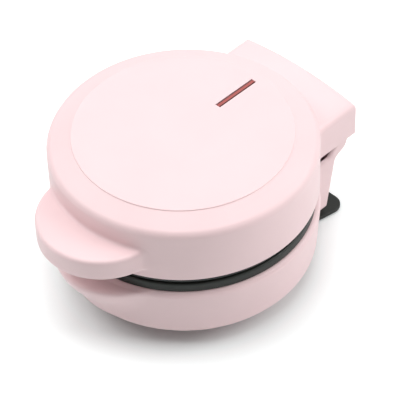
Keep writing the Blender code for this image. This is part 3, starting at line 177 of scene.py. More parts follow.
class WaffleCasingSizes(bpy.types.PropertyGroup):
    """Sizes of the two pink casings."""
    lid_radius: length("Lid radius", 63.5, "Radius of the lid's upright wall")
    lid_wall: length("Lid wall height", 28.5, "Height of the lid's wall up to its shoulder")
    dome_rise: length("Dome rise", 4.7, "Height of the flat top above the shoulder")
    shoulder: length("Shoulder round", 2.5, "Radius of the round over the lid's wall")
    disc_margin: length("Disc margin", 11.5, "Distance from the wall to the edge of the flat top")
    disc_step: length("Disc step", 0.45, "Height of the low step round the flat top")
    edge: length("Casing edge round", 0.5, "Round on the casings' lower and upper rims")
    wall: length("Casing wall", 2.0, "Wall thickness of the casings")
    handle_sink: length("Handle sink", 11.5, "How far the handle's axis lies inside the lid's wall")
    handle_rise: length("Handle rise", 6.0, "Height of the handle's underside above the lid's edge")
    handle_thickness: length("Handle thickness", 11.3, "Thickness of the handle tab")
    handle_edge: length("Handle edge round", 2.0, "Round on the handle's upper edge")
    handle_blend: length("Handle blend", 1.8, "Hollow round where the handle meets the wall")
    hood_half: length("Hood half width", 36.1, "Half the width of the hinge hood")
    hood_sink: length("Hood sink", 18.5, "How far the hood starts inside the lid's wall")
    hood_rise: length("Hood rise", 0.1, "Height of the hood's underside above the lid's edge")
    hood_side: length("Hood side height", 18.7, "Height of the hood at its sides")
    hood_crown: length("Hood crown", 3.4, "Extra height in the hood's middle")
    hood_edge: length("Hood edge round", 3.2, "Round on the hood's upper edges")
    hood_corner: length("Hood corner round", 1.2, "Round on the hood's upright rear corners")
    hood_blend: length("Hood blend", 3.0, "Hollow round where the hood meets the lid")
    hood_wall: length("Hood wall", 1.6, "Wall thickness of the hood")
    base_taper: length("Base taper", 1.8, "How much narrower the bowl is at its foot")
    base_foot: length("Base foot round", 4.6, "Round under the bowl")
    lip_drop: length("Lip drop", 0.9, "How far the rim falls towards its outer edge")
    lip_round: length("Lip round", 2.0, "Round on the outer edge of the rim")
    grip_sink: length("Grip sink", 20.7, "How far the axis of the base's tab lies inside the lid's wall")
    grip_radius: length("Grip radius", 32.0, "Radius of the base's tab below the handle")
    grip_height: length("Grip height", 3.8, "Height of the upright side of the base's tab")
    grip_edge: length("Grip edge round", 3.0, "Round on the upper edge of the base's tab")
    grip_flare: length("Grip flare", 3.0, "Round between the tab's side and its sloping underside")
    grip_blend: length("Grip blend", 4.0, "Hollow round where the tab meets the bowl")
    grip_foot_radius: length("Grip foot radius", 19.4, "Radius at the low end of the tab's underside")
    grip_foot_height: length("Grip foot height", 4.8, "Height of that low end above the base's bottom")
    tower_lean: length("Tower lean", 5.0, "How far the tower's rear wall leans out over its height")
    tower_foot: length("Tower foot round", 1.2, "Round under the hinge tower")
    tower_drop_foot: length("Tower foot drop", 1.7, "How far the tower reaches below the bowl")
    tower_edge: length("Tower edge round", 2.5, "Round on the edges of the hinge tower")
    barrel: length("Barrel radius", 7.0, "Radius of the round barrel on top of the tower")
    tower_blend: length("Tower blend", 1.5, "Hollow round where tower and bowl meet")
    tower_inset: length("Tower inset", 2.1, "How much narrower the tower is than the hood on each side")
    barrel_face: length("Barrel face", 3.4, "Distance of the barrel's sloping front face from the hinge axis")
    tower_neck: length("Tower neck shift", 1.9, "How far the neck lies in front of the hinge axis")
    neck_step: length("Neck step", 3.1, "Height of the neck below the barrel")
    neck_blend: length("Neck blend", 3.0, "Hollow round between the rear wall and the barrel")
    tower_drop: length("Tower top drop", 7.0, "Height of the tower's flat top below the lid's edge")
    tower_well: length("Tower well", 12.0, "Depth of the hollow beside each ear, in front of the barrel")
    tower_roof: length("Tower roof", 2.9, "Thickness of the tower's roof under the hinge slot")
    base_height: length("Base height", 28.5, "Height of the bowl")
    mouth_ledge: length("Mouth ledge", 2.0, "Width of the rim that the trim ring rests on")
    mouth_depth: length("Mouth depth", 1.2, "Depth of the narrow mouth of the bowl")
    undercut: length("Undercut", 3.0, "Height over which the bowl widens under its mouth")
    boss_height: length("Boss height", 5.0, "Height of the screw bosses on the base's floor")
    boss_wall: length("Boss wall", 1.4, "Wall of the screw bosses")
    window_half: length("Window half width", 1.5, "Half the width of the window's opening")
    window_length: length("Window length", 24.4, "Length of the window's opening")
    window_margin: length("Window margin", 4.7, "Distance from the window to the edge of the flat top")
    window_gap: length("Window gap", 0.2, "Gap round the lens in its opening")
    window_rim: length("Window rim", 0.3, "Round on the lens's edges")
    # The lens's dark border is painted shade for its sides in the shadowed gap; this is its width.
    window_shade_width: length("Window border", 0.7, "Width of the dark border of the lens")
    window_recess: length("Window recess", 0.05, "Depth of the lens's face below the flat top")
    cover_thickness: length("Handle cover thickness", 1.6, "Thickness of the plate under the handle")
    peg: length("Cover peg radius", 1.8, "Radius of the two pegs of the handle cover")
    peg_wall: length("Peg boss wall", 1.2, "Wall of the bosses that take the pegs")
    peg_spread: length("Peg spread", 14.0, "Distance of a peg from the middle of the handle")
    peg_margin: length("Peg margin", 12.2, "Distance of a peg from the handle's front")


class WafflePlateSizes(bpy.types.PropertyGroup):
    """Sizes of the trim rings, the waffle plates and what heats them."""
    ring_inset: length("Ring inset", 1.7, "How far the base's ring lies inside the lid's wall")
    ring_edge: length("Ring edge round", 0.9, "Round on the rings' upper edges")
    ring_foot: length("Ring foot round", 0.3, "Round on the ring's other edges")
    ring_lip_depth: length("Ring lip depth", 3.4, "How far the base's ring reaches into the bowl's mouth")
    ring_lip: length("Ring lip", 2.1, "Thickness of the lip in the bowl's mouth")
    ring_seam: length("Ring seam", 0.9, "Gap between the two rings")
    ledge_overlap: length("Ledge overlap", 2.5, "How far the rings reach under the plates' flanges")
    ledge: length("Ledge", 2.2, "Thickness of the ledge under a flange")
    margin: length("Plate margin", 9.0, "Distance from the lid's wall to a plate's edge")
    flange_width: length("Flange width", 3.7, "Width of the flange round a plate")
    flange: length("Flange", 2.5, "Thickness of the flange")
    floor: length("Plate floor", 2.5, "Thickness of a plate's floor")
    draft: length("Plate draft", 2.2, "How much narrower the floor is than the mouth")
    pit: length("Pit depth", 8.0, "Depth of a plate's floor below the parting plane")
    web: length("Waffle web", 5.0, "Gap between the studs of the two plates")
    stud_pitch: length("Stud pitch", 13.2, "Distance between studs")
    stud_groove: length("Stud groove", 3.6, "Gap between studs at the floor")
    stud_draft: length("Stud draft", 1.8, "How much narrower a stud is at its top")
    stud_margin: length("Stud margin", 3.1, "Distance from the studs to the plate's wall")
    stud_corner: length("Stud corner", 1.3, "Round on the studs' upright corners")
    stud_edge: length("Stud edge", 0.9, "Round on the studs' upper edges")
    stud_foot: length("Stud foot", 0.7, "Hollow round at the studs' feet")
    element_margin: length("Element margin", 17.8, "Distance from the plate's mouth to the element's loop")
    element: length("Element radius", 3.1, "Radius of the element's sheath")
    element_bend: length("Element bend", 6.0, "Radius of the bends of the element's tails")
    element_tail: length("Element tail", 11.0, "Length of the element's tails")
    tail_margin: length("Tail margin", 1.6, "Distance from the tails to the lamp holder")
    terminal: length("Terminal radius", 1.3, "Radius of the pins at the element's ends")
    terminal_length: length("Terminal length", 2.6, "Length of the pins at the element's ends")
    shield: length("Shield thickness", 0.8, "Thickness of the heat shields")
    shield_overlap: length("Shield overlap", 1.6, "How far a shield's flange lies under its ring")
    shield_flange: length("Shield flange width", 1.0, "Width of a shield's flange")
    shield_draft: length("Shield draft", 5.6, "How much narrower a shield's floor is than its mouth")


class WaffleHingeSizes(bpy.types.PropertyGroup):
    """Sizes of the hinge and the cord gland."""
    pin: length("Pin radius", 2.2, "Radius of the hinge pins")
    lug_wall: length("Lug wall", 3.1, "Wall of the lid's lugs round a pin")
    lug: length("Lug thickness", 5.0, "Thickness of the lid's lugs")
    ear: length("Ear thickness", 9.1, "Thickness of the tower's ears")
    ear_cap: length("Ear cap", 2.3, "Wall that closes an ear's bore")
    slot_margin: length("Slot margin", 1.2, "Room under the lugs in the hinge slot")
    gland_bore: length("Gland bore", 3.0, "Radius of the gland's bore")
    gland_wall: length("Gland wall", 1.4, "Wall of the gland's neck")
    gland_overhang: length("Gland overhang", 1.8, "Width of the gland's flange")
    gland_flange: length("Gland flange", 1.5, "Thickness of the gland's flange")
    gland_nut: length("Gland nut", 1.2, "Thickness of the gland's inner flange")
    gland_margin: length("Gland margin", 1.0, "Distance from the gland to the round under the tower")
    sleeve: length("Sleeve radius", 2.2, "Radius of the wire sleeve")
    sleeve_lead: length("Sleeve lead", 5.3, "How far the sleeve rises in front of the hinge axis")
    sleeve_head: length("Sleeve head", 4.0, "Length of the sleeve beyond the hinge axis")


class WaffleFootSizes(bpy.types.PropertyGroup):
    """Sizes of the foot plate and the fasteners."""
    overhang: length("Rear overhang", 9.8, "How far the foot plate reaches behind the tower")
    side_overhang: length("Side overhang", 3.7, "How far it reaches beside the tower")
    rear_length: length("Rear length", 15.0, "Length of its broad rear end")
    rear_taper: length("Rear taper", 3.0, "How much narrower its rear end gets towards the waist")
    waist_margin: length("Waist margin", 6.0, "Width of its waist beside the pedestal")
    waist_offset: length("Waist offset", 6.0, "Place of its waist")
    front_inset: length("Front inset", 20.5, "How far its front lies inside the bowl")
    taper: length("Foot taper", 5.7, "How much narrower its front is than its rear")
    corner: length("Foot corner", 7.5, "Round on its corners")
    edge: length("Foot edge", 0.45, "Round on its edges")
    pedestal_half: length("Pedestal half width", 17.0, "Half the width of the pedestal")
    pedestal_reach: length("Pedestal half length", 15.0, "Half the length of the pedestal")
    pedestal_corner: length("Pedestal corner", 6.0, "Round on the pedestal's corners")
    plate: length("Foot plate thickness", 2.0, "Thickness of the foot plate")
    pocket: length("Pocket depth", 1.0, "Depth of the pockets for the rubber feet")
    screw: length("Screw radius", 1.2, "Radius of a screw's shank")
    screw_head: length("Screw head height", 1.4, "Height of a screw's head")
    thread: length("Thread pitch", 1.0, "Distance between a screw's ridges")
    boss_wall: length("Ring boss wall", 1.1, "Wall of the ring's screw bosses")
    plate_boss_wall: length("Plate boss wall", 3.5, "Wall of the boss on a plate's back")


class WaffleFinishes(bpy.types.PropertyGroup):
    """Colours and gloss of the finishes."""
    pink: color("Pink", (0.92, 0.69, 0.705), "Moulded plastic of the casings")
    pink_worn: color("Worn pink", (0.95, 0.82, 0.82), "The pink plastic where its edges are rubbed")
    black: color("Black", (0.018, 0.021, 0.018), "Moulded plastic of rings and foot plate")
    black_worn: color("Worn black", (0.050, 0.052, 0.050), "The black plastic where its edges are rubbed")
    coating: color("Coating", (0.022, 0.022, 0.024), "Non-stick coating of the plates")
    coating_speck: color("Coating specks", (0.10, 0.10, 0.105), "Bright specks in the coating")
    steel: color("Steel", (0.62, 0.62, 0.60), "Bare steel parts")
    rubber: color("Rubber", (0.024, 0.024, 0.024), "Feet, gland and sleeve")
    phenolic: color("Phenolic", (0.13, 0.06, 0.035), "Body of the thermostat")
    phenolic_speck: color("Phenolic specks", (0.06, 0.027, 0.016), "Dark flecks in the phenolic")
    lens: color("Lens", (0.45, 0.12, 0.11), "Window over the lamp")
    # Nearly black painted shade for the lens's sides and edges, where the gap round it lies in shadow.
    lens_painted_shade: color("Lens rim", (0.045, 0.006, 0.008), "The window at its sides and edges")
    glass: color("Glass", (0.9, 0.62, 0.48), "Glass of the lamp")
    floor: color("Floor", (0.885, 0.93, 0.925), "Worktop under the appliance")
    gloss: share("Pink roughness", 0.42, "Middle roughness of the pink plastic")
    black_gloss: share("Black roughness", 0.45, "Middle roughness of the black plastic")
    grain: share("Grain", 0.12, "Strength of the fine grain of the moulded plastics")


class Plan:
    """Places that follow from the sizes and from the frame, in the frame of the round body."""

    def __init__(self, scene):
        s = self.s = scene.waffle_casing
        self.p = scene.waffle_plate
        self.h = scene.waffle_hinge
        self.f = scene.waffle_foot
        ring_low, ring_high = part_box("base_trim_ring")
        lid_low, lid_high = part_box("lid_shell")
        base_low, base_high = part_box("base_shell")
        self.axis_y = (ring_low.y + ring_high.y) / 2
        self.at = (0, self.axis_y, 0)
        self.ring_top = ring_high.z
        self.lid_top = lid_high.z
        self.shoulder_z = self.lid_top - s.dome_rise
        self.lid_edge = self.shoulder_z - s.lid_wall
        self.disc = s.lid_radius - s.disc_margin
        self.handle_y = -(s.lid_radius - s.handle_sink)
        self.handle_radius = self.axis_y + self.handle_y - lid_low.y
        self.handle_low = self.lid_edge + s.handle_rise
        self.handle_high = self.handle_low + s.handle_thickness
        self.hood_reach = lid_high.y - self.axis_y
        self.hood_front = s.lid_radius - s.hood_sink
        self.hood_low = self.lid_edge + s.hood_rise
        self.base_radius = base_high.x
        self.base_low = base_low.z
        hinge = next(j for j in frame["joints"] if j["name"] == "lid_hinge")["pos_m"]
        self.hinge_y = hinge[1] - self.axis_y
        self.hinge_z = hinge[2]
        self.hinge = (0, self.axis_y + self.hinge_y, self.hinge_z)
        front = self.handle_y - self.handle_radius + s.peg_margin
        self.peg_places = [(-s.peg_spread, front), (s.peg_spread, front)]
        screw_low, screw_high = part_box("base_screw_1")
        self.head_radius = (screw_high.x - screw_low.x) / 2
        pad_low, pad_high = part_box(RUBBER_FEET[0])
        self.rubber_radius = (pad_high.x - pad_low.x) / 2
        self.place_tower()
        self.place_grip()
        self.place_plates()

    def place_grip(self):
        """Places of the base's tab below the handle."""
        s = self.s
        self.grip_y = -(s.lid_radius - s.grip_sink)
        self.grip_low = self.lip - s.grip_height
        self.grip_foot = self.base_low + s.grip_foot_height
        self.grip_slope = math.atan2(s.grip_radius - s.grip_foot_radius, self.grip_low - self.grip_foot)

    def place_tower(self):
        """Places of the hinge tower and its slot."""
        s, h = self.s, self.h
        self.base_floor = self.base_low + s.wall
        self.rim = self.base_low + s.base_height
        self.lip = self.rim - s.lip_drop
        self.tower_half = s.hood_half - s.tower_inset
        self.tower_low = self.base_low - s.tower_drop_foot
        self.neck_y = self.hinge_y - s.tower_neck
        self.heel_y = self.neck_y - s.tower_lean
        self.neck_z = self.hinge_z - s.barrel - s.neck_step
        self.lean = math.atan2(s.tower_lean, self.neck_z - self.base_low)
        self.tower_top = self.lid_edge - s.tower_drop
        self.pin_bore = h.pin + GAP
        self.lug_radius = self.pin_bore + h.lug_wall
        self.ear_inner = self.tower_half - h.ear
        self.lug_outer = self.ear_inner - CLEARANCE
        self.lug_inner = self.lug_outer - h.lug
        self.slot_floor = self.hinge_z - self.lug_radius - h.slot_margin

    def place_plates(self):
        """Radii and heights of the rings and the plates."""
        s, p = self.s, self.p
        self.parting = self.ring_top + GAP
        self.ring_radius = s.lid_radius - p.ring_inset
        self.mouth = self.ring_radius - s.mouth_ledge
        self.plate_radius = s.lid_radius - p.margin
        self.seat_radius = self.plate_radius + CLEARANCE
        self.ledge_radius = self.plate_radius - p.ledge_overlap
        self.cooking_radius = self.plate_radius - p.flange_width
        self.floor_radius = self.cooking_radius - p.draft
        self.stud_field = self.floor_radius - p.stud_margin
        self.pit = self.parting - p.pit
        self.plate_back = self.pit - p.floor
        self.seat = self.ring_top - p.flange - GAP
        self.ledge_back = self.seat - p.ledge
        self.lid_ring_low = self.ring_top + p.ring_seam
        self.element_circle = self.cooking_radius - p.element_margin
        self.element_z = self.plate_back - GAP - p.element

    def hood_roof(self, x):
        """Height of the hood's crowned top at a distance from the middle plane."""
        part = x / self.s.hood_half
        return self.hood_low + self.s.hood_side + self.s.hood_crown * (1 - part * part)

    def mirrored(self, height):
        """The height on the lid's side of the parting plane that matches one on the base's side."""
        return 2 * self.parting - height


def apply_modifiers(item):
    """Bake an object's modifiers into its mesh."""
    bpy.context.view_layer.update()
    graph = bpy.context.evaluated_depsgraph_get()
    mesh = bpy.data.meshes.new_from_object(item.evaluated_get(graph))
    item.modifiers.clear()
    item.data = mesh


def add_object(name, form, location):
    """Turn a bmesh into an object."""
    bmesh.ops.recalc_face_normals(form, faces=form.faces)
    mesh = bpy.data.meshes.new(name)
    form.to_mesh(mesh)
    form.free()
    item = bpy.data.objects.new(name, mesh)
    item.location = location
    bpy.context.scene.collection.objects.link(item)
    return item


def carve(item, tools, operation):
    """Cut tools away from a piece, or make them part of it, and remove the tools."""
    for tool in tools:
        modifier = item.modifiers.new(tool.name, "BOOLEAN")
        modifier.operation = operation
        modifier.solver = "MANIFOLD"
        modifier.object = tool
        apply_modifiers(item)
        bpy.data.objects.remove(tool, do_unlink=True)


def cut(item, *tools):
    """Take tools away from a piece."""
    carve(item, tools, "DIFFERENCE")


def fuse(item, *tools):
    """Make tools part of a piece."""
    carve(item, tools, "UNION")


def soften(item, width, steps=3):
    """Round the sharp edges of a piece."""
    modifier = item.modifiers.new("soft edges", "BEVEL")
    modifier.width = width
    modifier.segments = steps
    modifier.limit_method = "ANGLE"
    modifier.angle_limit = BEVEL_ANGLE
    apply_modifiers(item)
    return item


def rounded(corners, steps=ARC_STEPS):
    """Round the corners of a closed outline: each is (x, y) or (x, y, fillet radius)."""
    points = []
    for index, corner in enumerate(corners):
        here = Vector(corner[:2])
        radius = corner[2] if len(corner) > 2 else 0
        if radius == 0:
            points.append(tuple(here))
            continue
        back = Vector(corners[index - 1][:2]) - here
        ahead = Vector(corners[(index + 1) % len(corners)][:2]) - here
        half = back.angle(ahead) / 2
        reach = min(radius / math.tan(half), back.length / 2, ahead.length / 2)
        radius = reach * math.tan(half)
        back.normalize()
        ahead.normalize()
        centre = here + (back + ahead).normalized() * radius / math.sin(half)
        start = here + back * reach - centre
        turn = start.angle_signed(here + ahead * reach - centre)
        for step in range(steps + 1):
            angle = -turn * step / steps
            points.append((
                centre.x + start.x * math.cos(angle) - start.y * math.sin(angle),
                centre.y + start.x * math.sin(angle) + start.y * math.cos(angle)))
    return points


def round_max(first, second, radius):
    """Overlap of two distance fields with a rounded outer edge."""
    corner = np.hypot(np.maximum(first + radius, 0), np.maximum(second + radius, 0))
    return np.minimum(np.maximum(first, second), -radius) + corner


def round_min(first, second, radius):
    """Union of two distance fields with a rounded hollow between them."""
    corner = np.hypot(np.maximum(radius - first, 0), np.maximum(radius - second, 0))
    return np.maximum(np.minimum(first, second), radius) - corner


def stepped(marks, end):
    """Grid lines from marks of (start, step): each step is kept up to the next mark or the end."""
    lines = []
    starts = [start for start, _ in marks]
    for (start, step), following in zip(marks, starts[1:] + [end]):
        count = max(1, round((following - start) / step))
        lines += [start + (following - start) * index / count for index in range(count)]
    return np.array(lines + [end])


def settle(points, distance):
    """Move points onto the surface where a distance field is zero."""
    for _ in range(SETTLE_STEPS):
        slopes = []
        for axis in range(3):
            shift = np.zeros(3)
            shift[axis] = NUDGE
            slopes.append((distance(*(points + shift).T) - distance(*(points - shift).T)) / (2 * NUDGE))
        slope = np.stack(slopes, axis=-1)
        size = np.maximum((slope * slope).sum(axis=-1), FLATTEST_SLOPE)
        move = np.clip(distance(*points.T) / size, -LONGEST_STEP, LONGEST_STEP)
        points = points - slope * move[:, None]
    return points


def cell_points(grid, values, cells):
    """Mean of the places where the surface crosses the edges of each cell."""
    total = np.zeros((len(cells[0]), 3))
    count = np.zeros(len(cells[0]))
    corners = [(a, b, c) for a in (0, 1) for b in (0, 1) for c in (0, 1)]
    for corner in corners:
        for axis in range(3):
            if corner[axis] == 1:
                continue
            other = list(corner)
            other[axis] = 1
            here = tuple(cells[k] + corner[k] for k in range(3))
            there = tuple(cells[k] + other[k] for k in range(3))
            low, high = values[here], values[there]
            crossed = (low < 0) != (high < 0)
            part = np.where(crossed, low / np.where(crossed, low - high, 1), 0)
            place = grid[here] + (grid[there] - grid[here]) * part[:, None]
            total += place * crossed[:, None]
            count += crossed
    return total / count[:, None]


def polar_skin(name, distance, angles, radii, heights, location):
    """A closed quad mesh on the surface of a distance field, from a grid round the upright axis."""
    angle, radius, height = np.meshgrid(np.append(angles, angles[0]), radii, heights, indexing="ij")
    grid = np.stack((radius * np.cos(angle), radius * np.sin(angle), height), axis=-1)
    values = distance(grid[..., 0], grid[..., 1], grid[..., 2])
    inside = values < 0
    columns, rows, levels = len(angles), len(radii) - 1, len(heights) - 1
    count = np.zeros((columns, rows, levels), int)
    for a in (0, 1):
        for b in (0, 1):
            for c in (0, 1):
                count += inside[a:columns + a, b:rows + b, c:levels + c]
    active = (count > 0) & (count < 8)
    cells = np.nonzero(active)
    ids = np.full(active.shape, -1)
    ids[active] = np.arange(len(cells[0]))
    points = settle(cell_points(grid, values, cells), distance)
    back = np.roll(ids, 1, axis=0)
    turn = inside[:-1, 1:-1, 1:-1] != inside[1:, 1:-1, 1:-1]
    out = inside[:-1, :-1, 1:-1] != inside[:-1, 1:, 1:-1]
    up = inside[:-1, 1:-1, :-1] != inside[:-1, 1:-1, 1:]
    quads = np.concatenate((
        np.stack((ids[:, :-1, :-1], ids[:, 1:, :-1], ids[:, 1:, 1:], ids[:, :-1, 1:]), -1)[turn],
        np.stack((back[:, :, :-1], ids[:, :, :-1], ids[:, :, 1:], back[:, :, 1:]), -1)[out],
        np.stack((back[:, :-1], ids[:, :-1], ids[:, 1:], back[:, 1:]), -1)[up]))
    mesh = bpy.data.meshes.new(name)
    mesh.from_pydata(points.tolist(), [], quads.tolist())
    form = bmesh.new()
    form.from_mesh(mesh)
    bpy.data.meshes.remove(mesh)
    bmesh.ops.holes_fill(form, edges=[e for e in form.edges if e.is_boundary])
    return add_object(name, form, location)


def sector_angles(hinge_sector):
    """Grid angles, finer in a sector round the handle and in one round the hinge."""
    front, rear = math.radians(-90), math.radians(90)
    marks = [
        (front - HANDLE_SECTOR, FINE_TURN), (front + HANDLE_SECTOR, COARSE_TURN),
        (rear - hinge_sector, FINE_TURN), (rear + hinge_sector, COARSE_TURN)]
    return stepped(marks, front - HANDLE_SECTOR + math.tau)[:-1]


def bridge(form, ring, following):
    """Join two rings of as many points with a band of quads."""
    for side in range(len(ring)):
        after = (side + 1) % len(ring)
        form.faces.new((ring[side], ring[after], following[after], following[side]))


def add_turned(form, profile, segments, place=(0, 0)):
    """Add one closed turned form to a bmesh. Its profile starts and ends at radius 0, or is a ring."""
    rings = []
    for radius, height in profile:
        ring = []
        for index in range(segments if radius > 0 else 0):
            angle = math.tau * index / segments
            ring.append(form.verts.new((
                place[0] + radius * math.cos(angle), place[1] + radius * math.sin(angle), height)))
        rings.append(ring)
    for index, ring in enumerate(rings):
        following = rings[(index + 1) % len(rings)]
        if ring and following:
            bridge(form, ring, following)
        elif ring or following:
            form.faces.new(ring or following)


def turned(name, profile, segments, location, rotation=ORIGIN, places=((0, 0),)):
    """Turn a closed profile of (radius, height) points about the upright axis, at one or more places."""
    form = bmesh.new()
    for place in places:
        add_turned(form, profile, segments, place)
    item = add_object(name, form, location)
    item.rotation_euler = rotation
    return item


def extruded(name, outline, low, high, along, location=ORIGIN):
    """Extrude a flat outline along X, Y or Z. The outline lies in YZ, XZ or XY."""
    def spot(point, depth):
        if along == "X":
            return (depth, point[0], point[1])
        if along == "Y":
            return (point[0], depth, point[1])
        return (point[0], point[1], depth)

    form = bmesh.new()
    near = [form.verts.new(spot(point, low)) for point in outline]
    far = [form.verts.new(spot(point, high)) for point in outline]
    form.faces.new(near)
    form.faces.new(far)
    bridge(form, near, far)
    return add_object(name, form, location)


def block(name, low, high, location=ORIGIN):
    """A rectangular block between two corners."""
    outline = [(low[0], low[1]), (high[0], low[1]), (high[0], high[1]), (low[0], high[1])]
    return extruded(name, outline, low[2], high[2], "Z", location)


def rod_profile(radius, low, high):
    """Profile of a plain round rod."""
    return [(0, low), (radius, low), (radius, high), (0, high)]


def rods(plan, name, radius, low, high, places=((0, 0),)):
    """Plain round rods about upright axes, at places in the frame of the round body."""
    return turned(name, rod_profile(radius, low, high), SMALL_SEGMENTS, plan.at, places=places)


def lid_field(plan):
    """Distance field of the lid's outer form: round body, handle tab and hood."""
    s = plan.s
    slope = math.atan2(s.dome_rise - s.disc_step, s.disc_margin)

    def body(x, y, z):
        radius = np.hypot(x, y)
        wall = radius - s.lid_radius
        cone = (radius - s.lid_radius) * math.sin(slope) + (z - plan.shoulder_z) * math.cos(slope)
        form = np.maximum(round_max(wall, cone, s.shoulder), z - plan.lid_top + s.disc_step)
        disc = round_max(radius - plan.disc, z - plan.lid_top, s.disc_step / 2)
        form = round_min(form, disc, s.disc_step / 2)
        return round_max(form, plan.lid_edge - z, s.edge)

    def tab(x, y, z):
        side = np.hypot(x, y - plan.handle_y) - plan.handle_radius
        form = round_max(side, z - plan.handle_high, s.handle_edge)
        return round_max(form, plan.handle_low - z, s.handle_edge / 2)

    def hood(x, y, z):
        form = round_max(np.abs(x) - s.hood_half, y - plan.hood_reach, s.hood_corner)
        form = np.maximum(form, plan.hood_front - y)
        form = round_max(form, z - plan.hood_roof(x), s.hood_edge)
        return round_max(form, plan.hood_low - z, s.edge)

    def distance(x, y, z):
        form = round_min(body(x, y, z), tab(x, y, z), s.handle_blend)
        return round_min(form, hood(x, y, z), s.hood_blend)

    return distance


def make_lid_form(plan):
    """Solid outer form of the lid. Each mark of its grid is a start and the step from there on."""
    s = plan.s
    radii = stepped([
        (3 * MM, 5 * MM), (plan.disc - 2 * s.disc_step, s.disc_step / 4),
        (plan.disc + 2 * s.disc_step, 1.2 * MM), (s.lid_radius - 5 * MM, 0.6 * MM),
        (s.lid_radius + 1 * MM, 0.75 * MM)], s.lid_radius + 26 * MM)
    heights = stepped([
        (plan.lid_edge - 0.6 * MM, 0.3 * MM), (plan.lid_edge + 1.5 * MM, 0.9 * MM),
        (plan.handle_low - 2.2 * MM, 0.5 * MM), (plan.handle_low + 1.5 * MM, 1 * MM),
        (plan.handle_high - 2.5 * MM, 0.5 * MM), (plan.lid_top - 2 * s.disc_step, s.disc_step / 4)],
        plan.lid_top + 0.6 * MM)
    return polar_skin("lid_casing", lid_field(plan), sector_angles(LID_HINGE_SECTOR), radii, heights, plan.at)


def middle_of(node, plan):
    """Middle of a node's box in the frame of the round body."""
    low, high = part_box(node)
    centre = (low + high) / 2
    return Vector((centre.x, centre.y - plan.axis_y, centre.z))


def screw_places(stem, count, plan):
    """Places of a row of numbered screws."""
    return [tuple(middle_of(f"{stem}_{index + 1}", plan)[:2]) for index in range(count)]


def stepped_profile(wide, narrow, low, step, high):
    """Profile of a rod that is wide up to a step and narrow above it."""
    return [(0, low), (wide, low), (wide, step), (narrow, step), (narrow, high), (0, high)]


def cut_lid_form(plan, casing):
    """Hollow the lid's form: round cavity, hood, handle pocket and window."""
    s = plan.s
    inner = s.lid_radius - s.wall
    ceiling = plan.lid_top - s.wall
    cavity = rounded([
        (0, plan.lid_edge - OVERRUN),
        (inner + s.edge + OVERRUN, plan.lid_edge - OVERRUN),
        (inner, plan.lid_edge + s.edge),
        (inner, plan.shoulder_z - s.wall, s.shoulder / 2),
        (plan.disc - s.wall, ceiling),
        (0, ceiling),
    ])
    cut(casing, turned("lid_cavity", cavity, SHELL_SEGMENTS, plan.at))
    half = s.hood_half - s.hood_wall
    bottom = plan.hood_low - OVERRUN
    outline = [(half, bottom), (-half, bottom)]
    for step in range(-ROOF_STEPS, ROOF_STEPS + 1):
        x = half * step / ROOF_STEPS
        outline.append((x, plan.hood_roof(x) - s.hood_wall))
    rear = plan.hood_reach - s.hood_wall
    hollow = extruded("hood_hollow", outline, plan.hood_front - OVERRUN, rear, "Y", plan.at)
    cut(casing, soften(hollow, s.edge))
    pocket = rod_profile(plan.handle_radius - s.wall, plan.handle_low - OVERRUN, plan.handle_high - s.wall)
    place = (0, plan.axis_y + plan.handle_y, 0)
    cut(casing, turned("handle_pocket", pocket, SHELL_SEGMENTS, place))
    add_peg_bosses(plan, casing)
    window_back = plan.disc - s.window_margin
    window = block(
        "window_opening",
        (-s.window_half, window_back - s.window_length, ceiling - OVERRUN),
        (s.window_half, window_back, plan.lid_top + OVERRUN), plan.at)
    cut(casing, window)


def add_peg_bosses(plan, casing):
    """Bored bosses in the handle, which take the pegs of its cover."""
    s = plan.s
    bore = s.peg + GAP
    low = plan.handle_low + s.cover_thickness + GAP
    high = plan.handle_high - s.wall / 2
    fuse(casing, rods(plan, "peg_bosses", bore + s.peg_wall, low, high, plan.peg_places))
    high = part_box("handle_cover")[1].z + 2 * GAP
    cut(casing, rods(plan, "peg_bores", bore, low - OVERRUN, high, plan.peg_places))


def add_lugs(plan, casing):
    """The lid's two bored lugs, which the hinge pins carry."""
    s = plan.s
    roof = plan.hood_roof(plan.lug_outer) - s.hood_wall / 3
    steps = 3 * ARC_STEPS
    outline = []
    for step in range(steps + 1):
        angle = math.pi * (1 + step / steps)
        outline.append((
            plan.hinge_y + plan.lug_radius * math.cos(angle),
            plan.hinge_z + plan.lug_radius * math.sin(angle)))
    outline += [(plan.hinge_y + plan.lug_radius, roof), (plan.hinge_y - plan.lug_radius, roof)]
    for side in (-1, 1):
        low, high = sorted((side * plan.lug_inner, side * plan.lug_outer))
        lug = extruded(f"hinge_lug_{side}", outline, low, high, "X", plan.at)
        fuse(casing, soften(lug, s.edge, 2))
    bore = rod_profile(plan.pin_bore, -plan.ear_inner, plan.ear_inner)
    cut(casing, turned("lug_bore", bore, SMALL_SEGMENTS, plan.hinge, ALONG_X))


def add_lid_bosses(plan, casing):
    """Bored bosses under the lid's ceiling, which take the lid screws."""
    s = plan.s
    places = screw_places("lid_screw", 4, plan)
    low = plan.mirrored(plan.ledge_back) + GAP
    bore = plan.f.screw + GAP
    fuse(casing, rods(plan, "lid_bosses", bore + s.boss_wall, low, plan.shoulder_z - s.wall / 2, places))
    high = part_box("lid_screw_1")[1].z + CLEARANCE
    cut(casing, rods(plan, "lid_pilots", bore, low - OVERRUN, high, places))


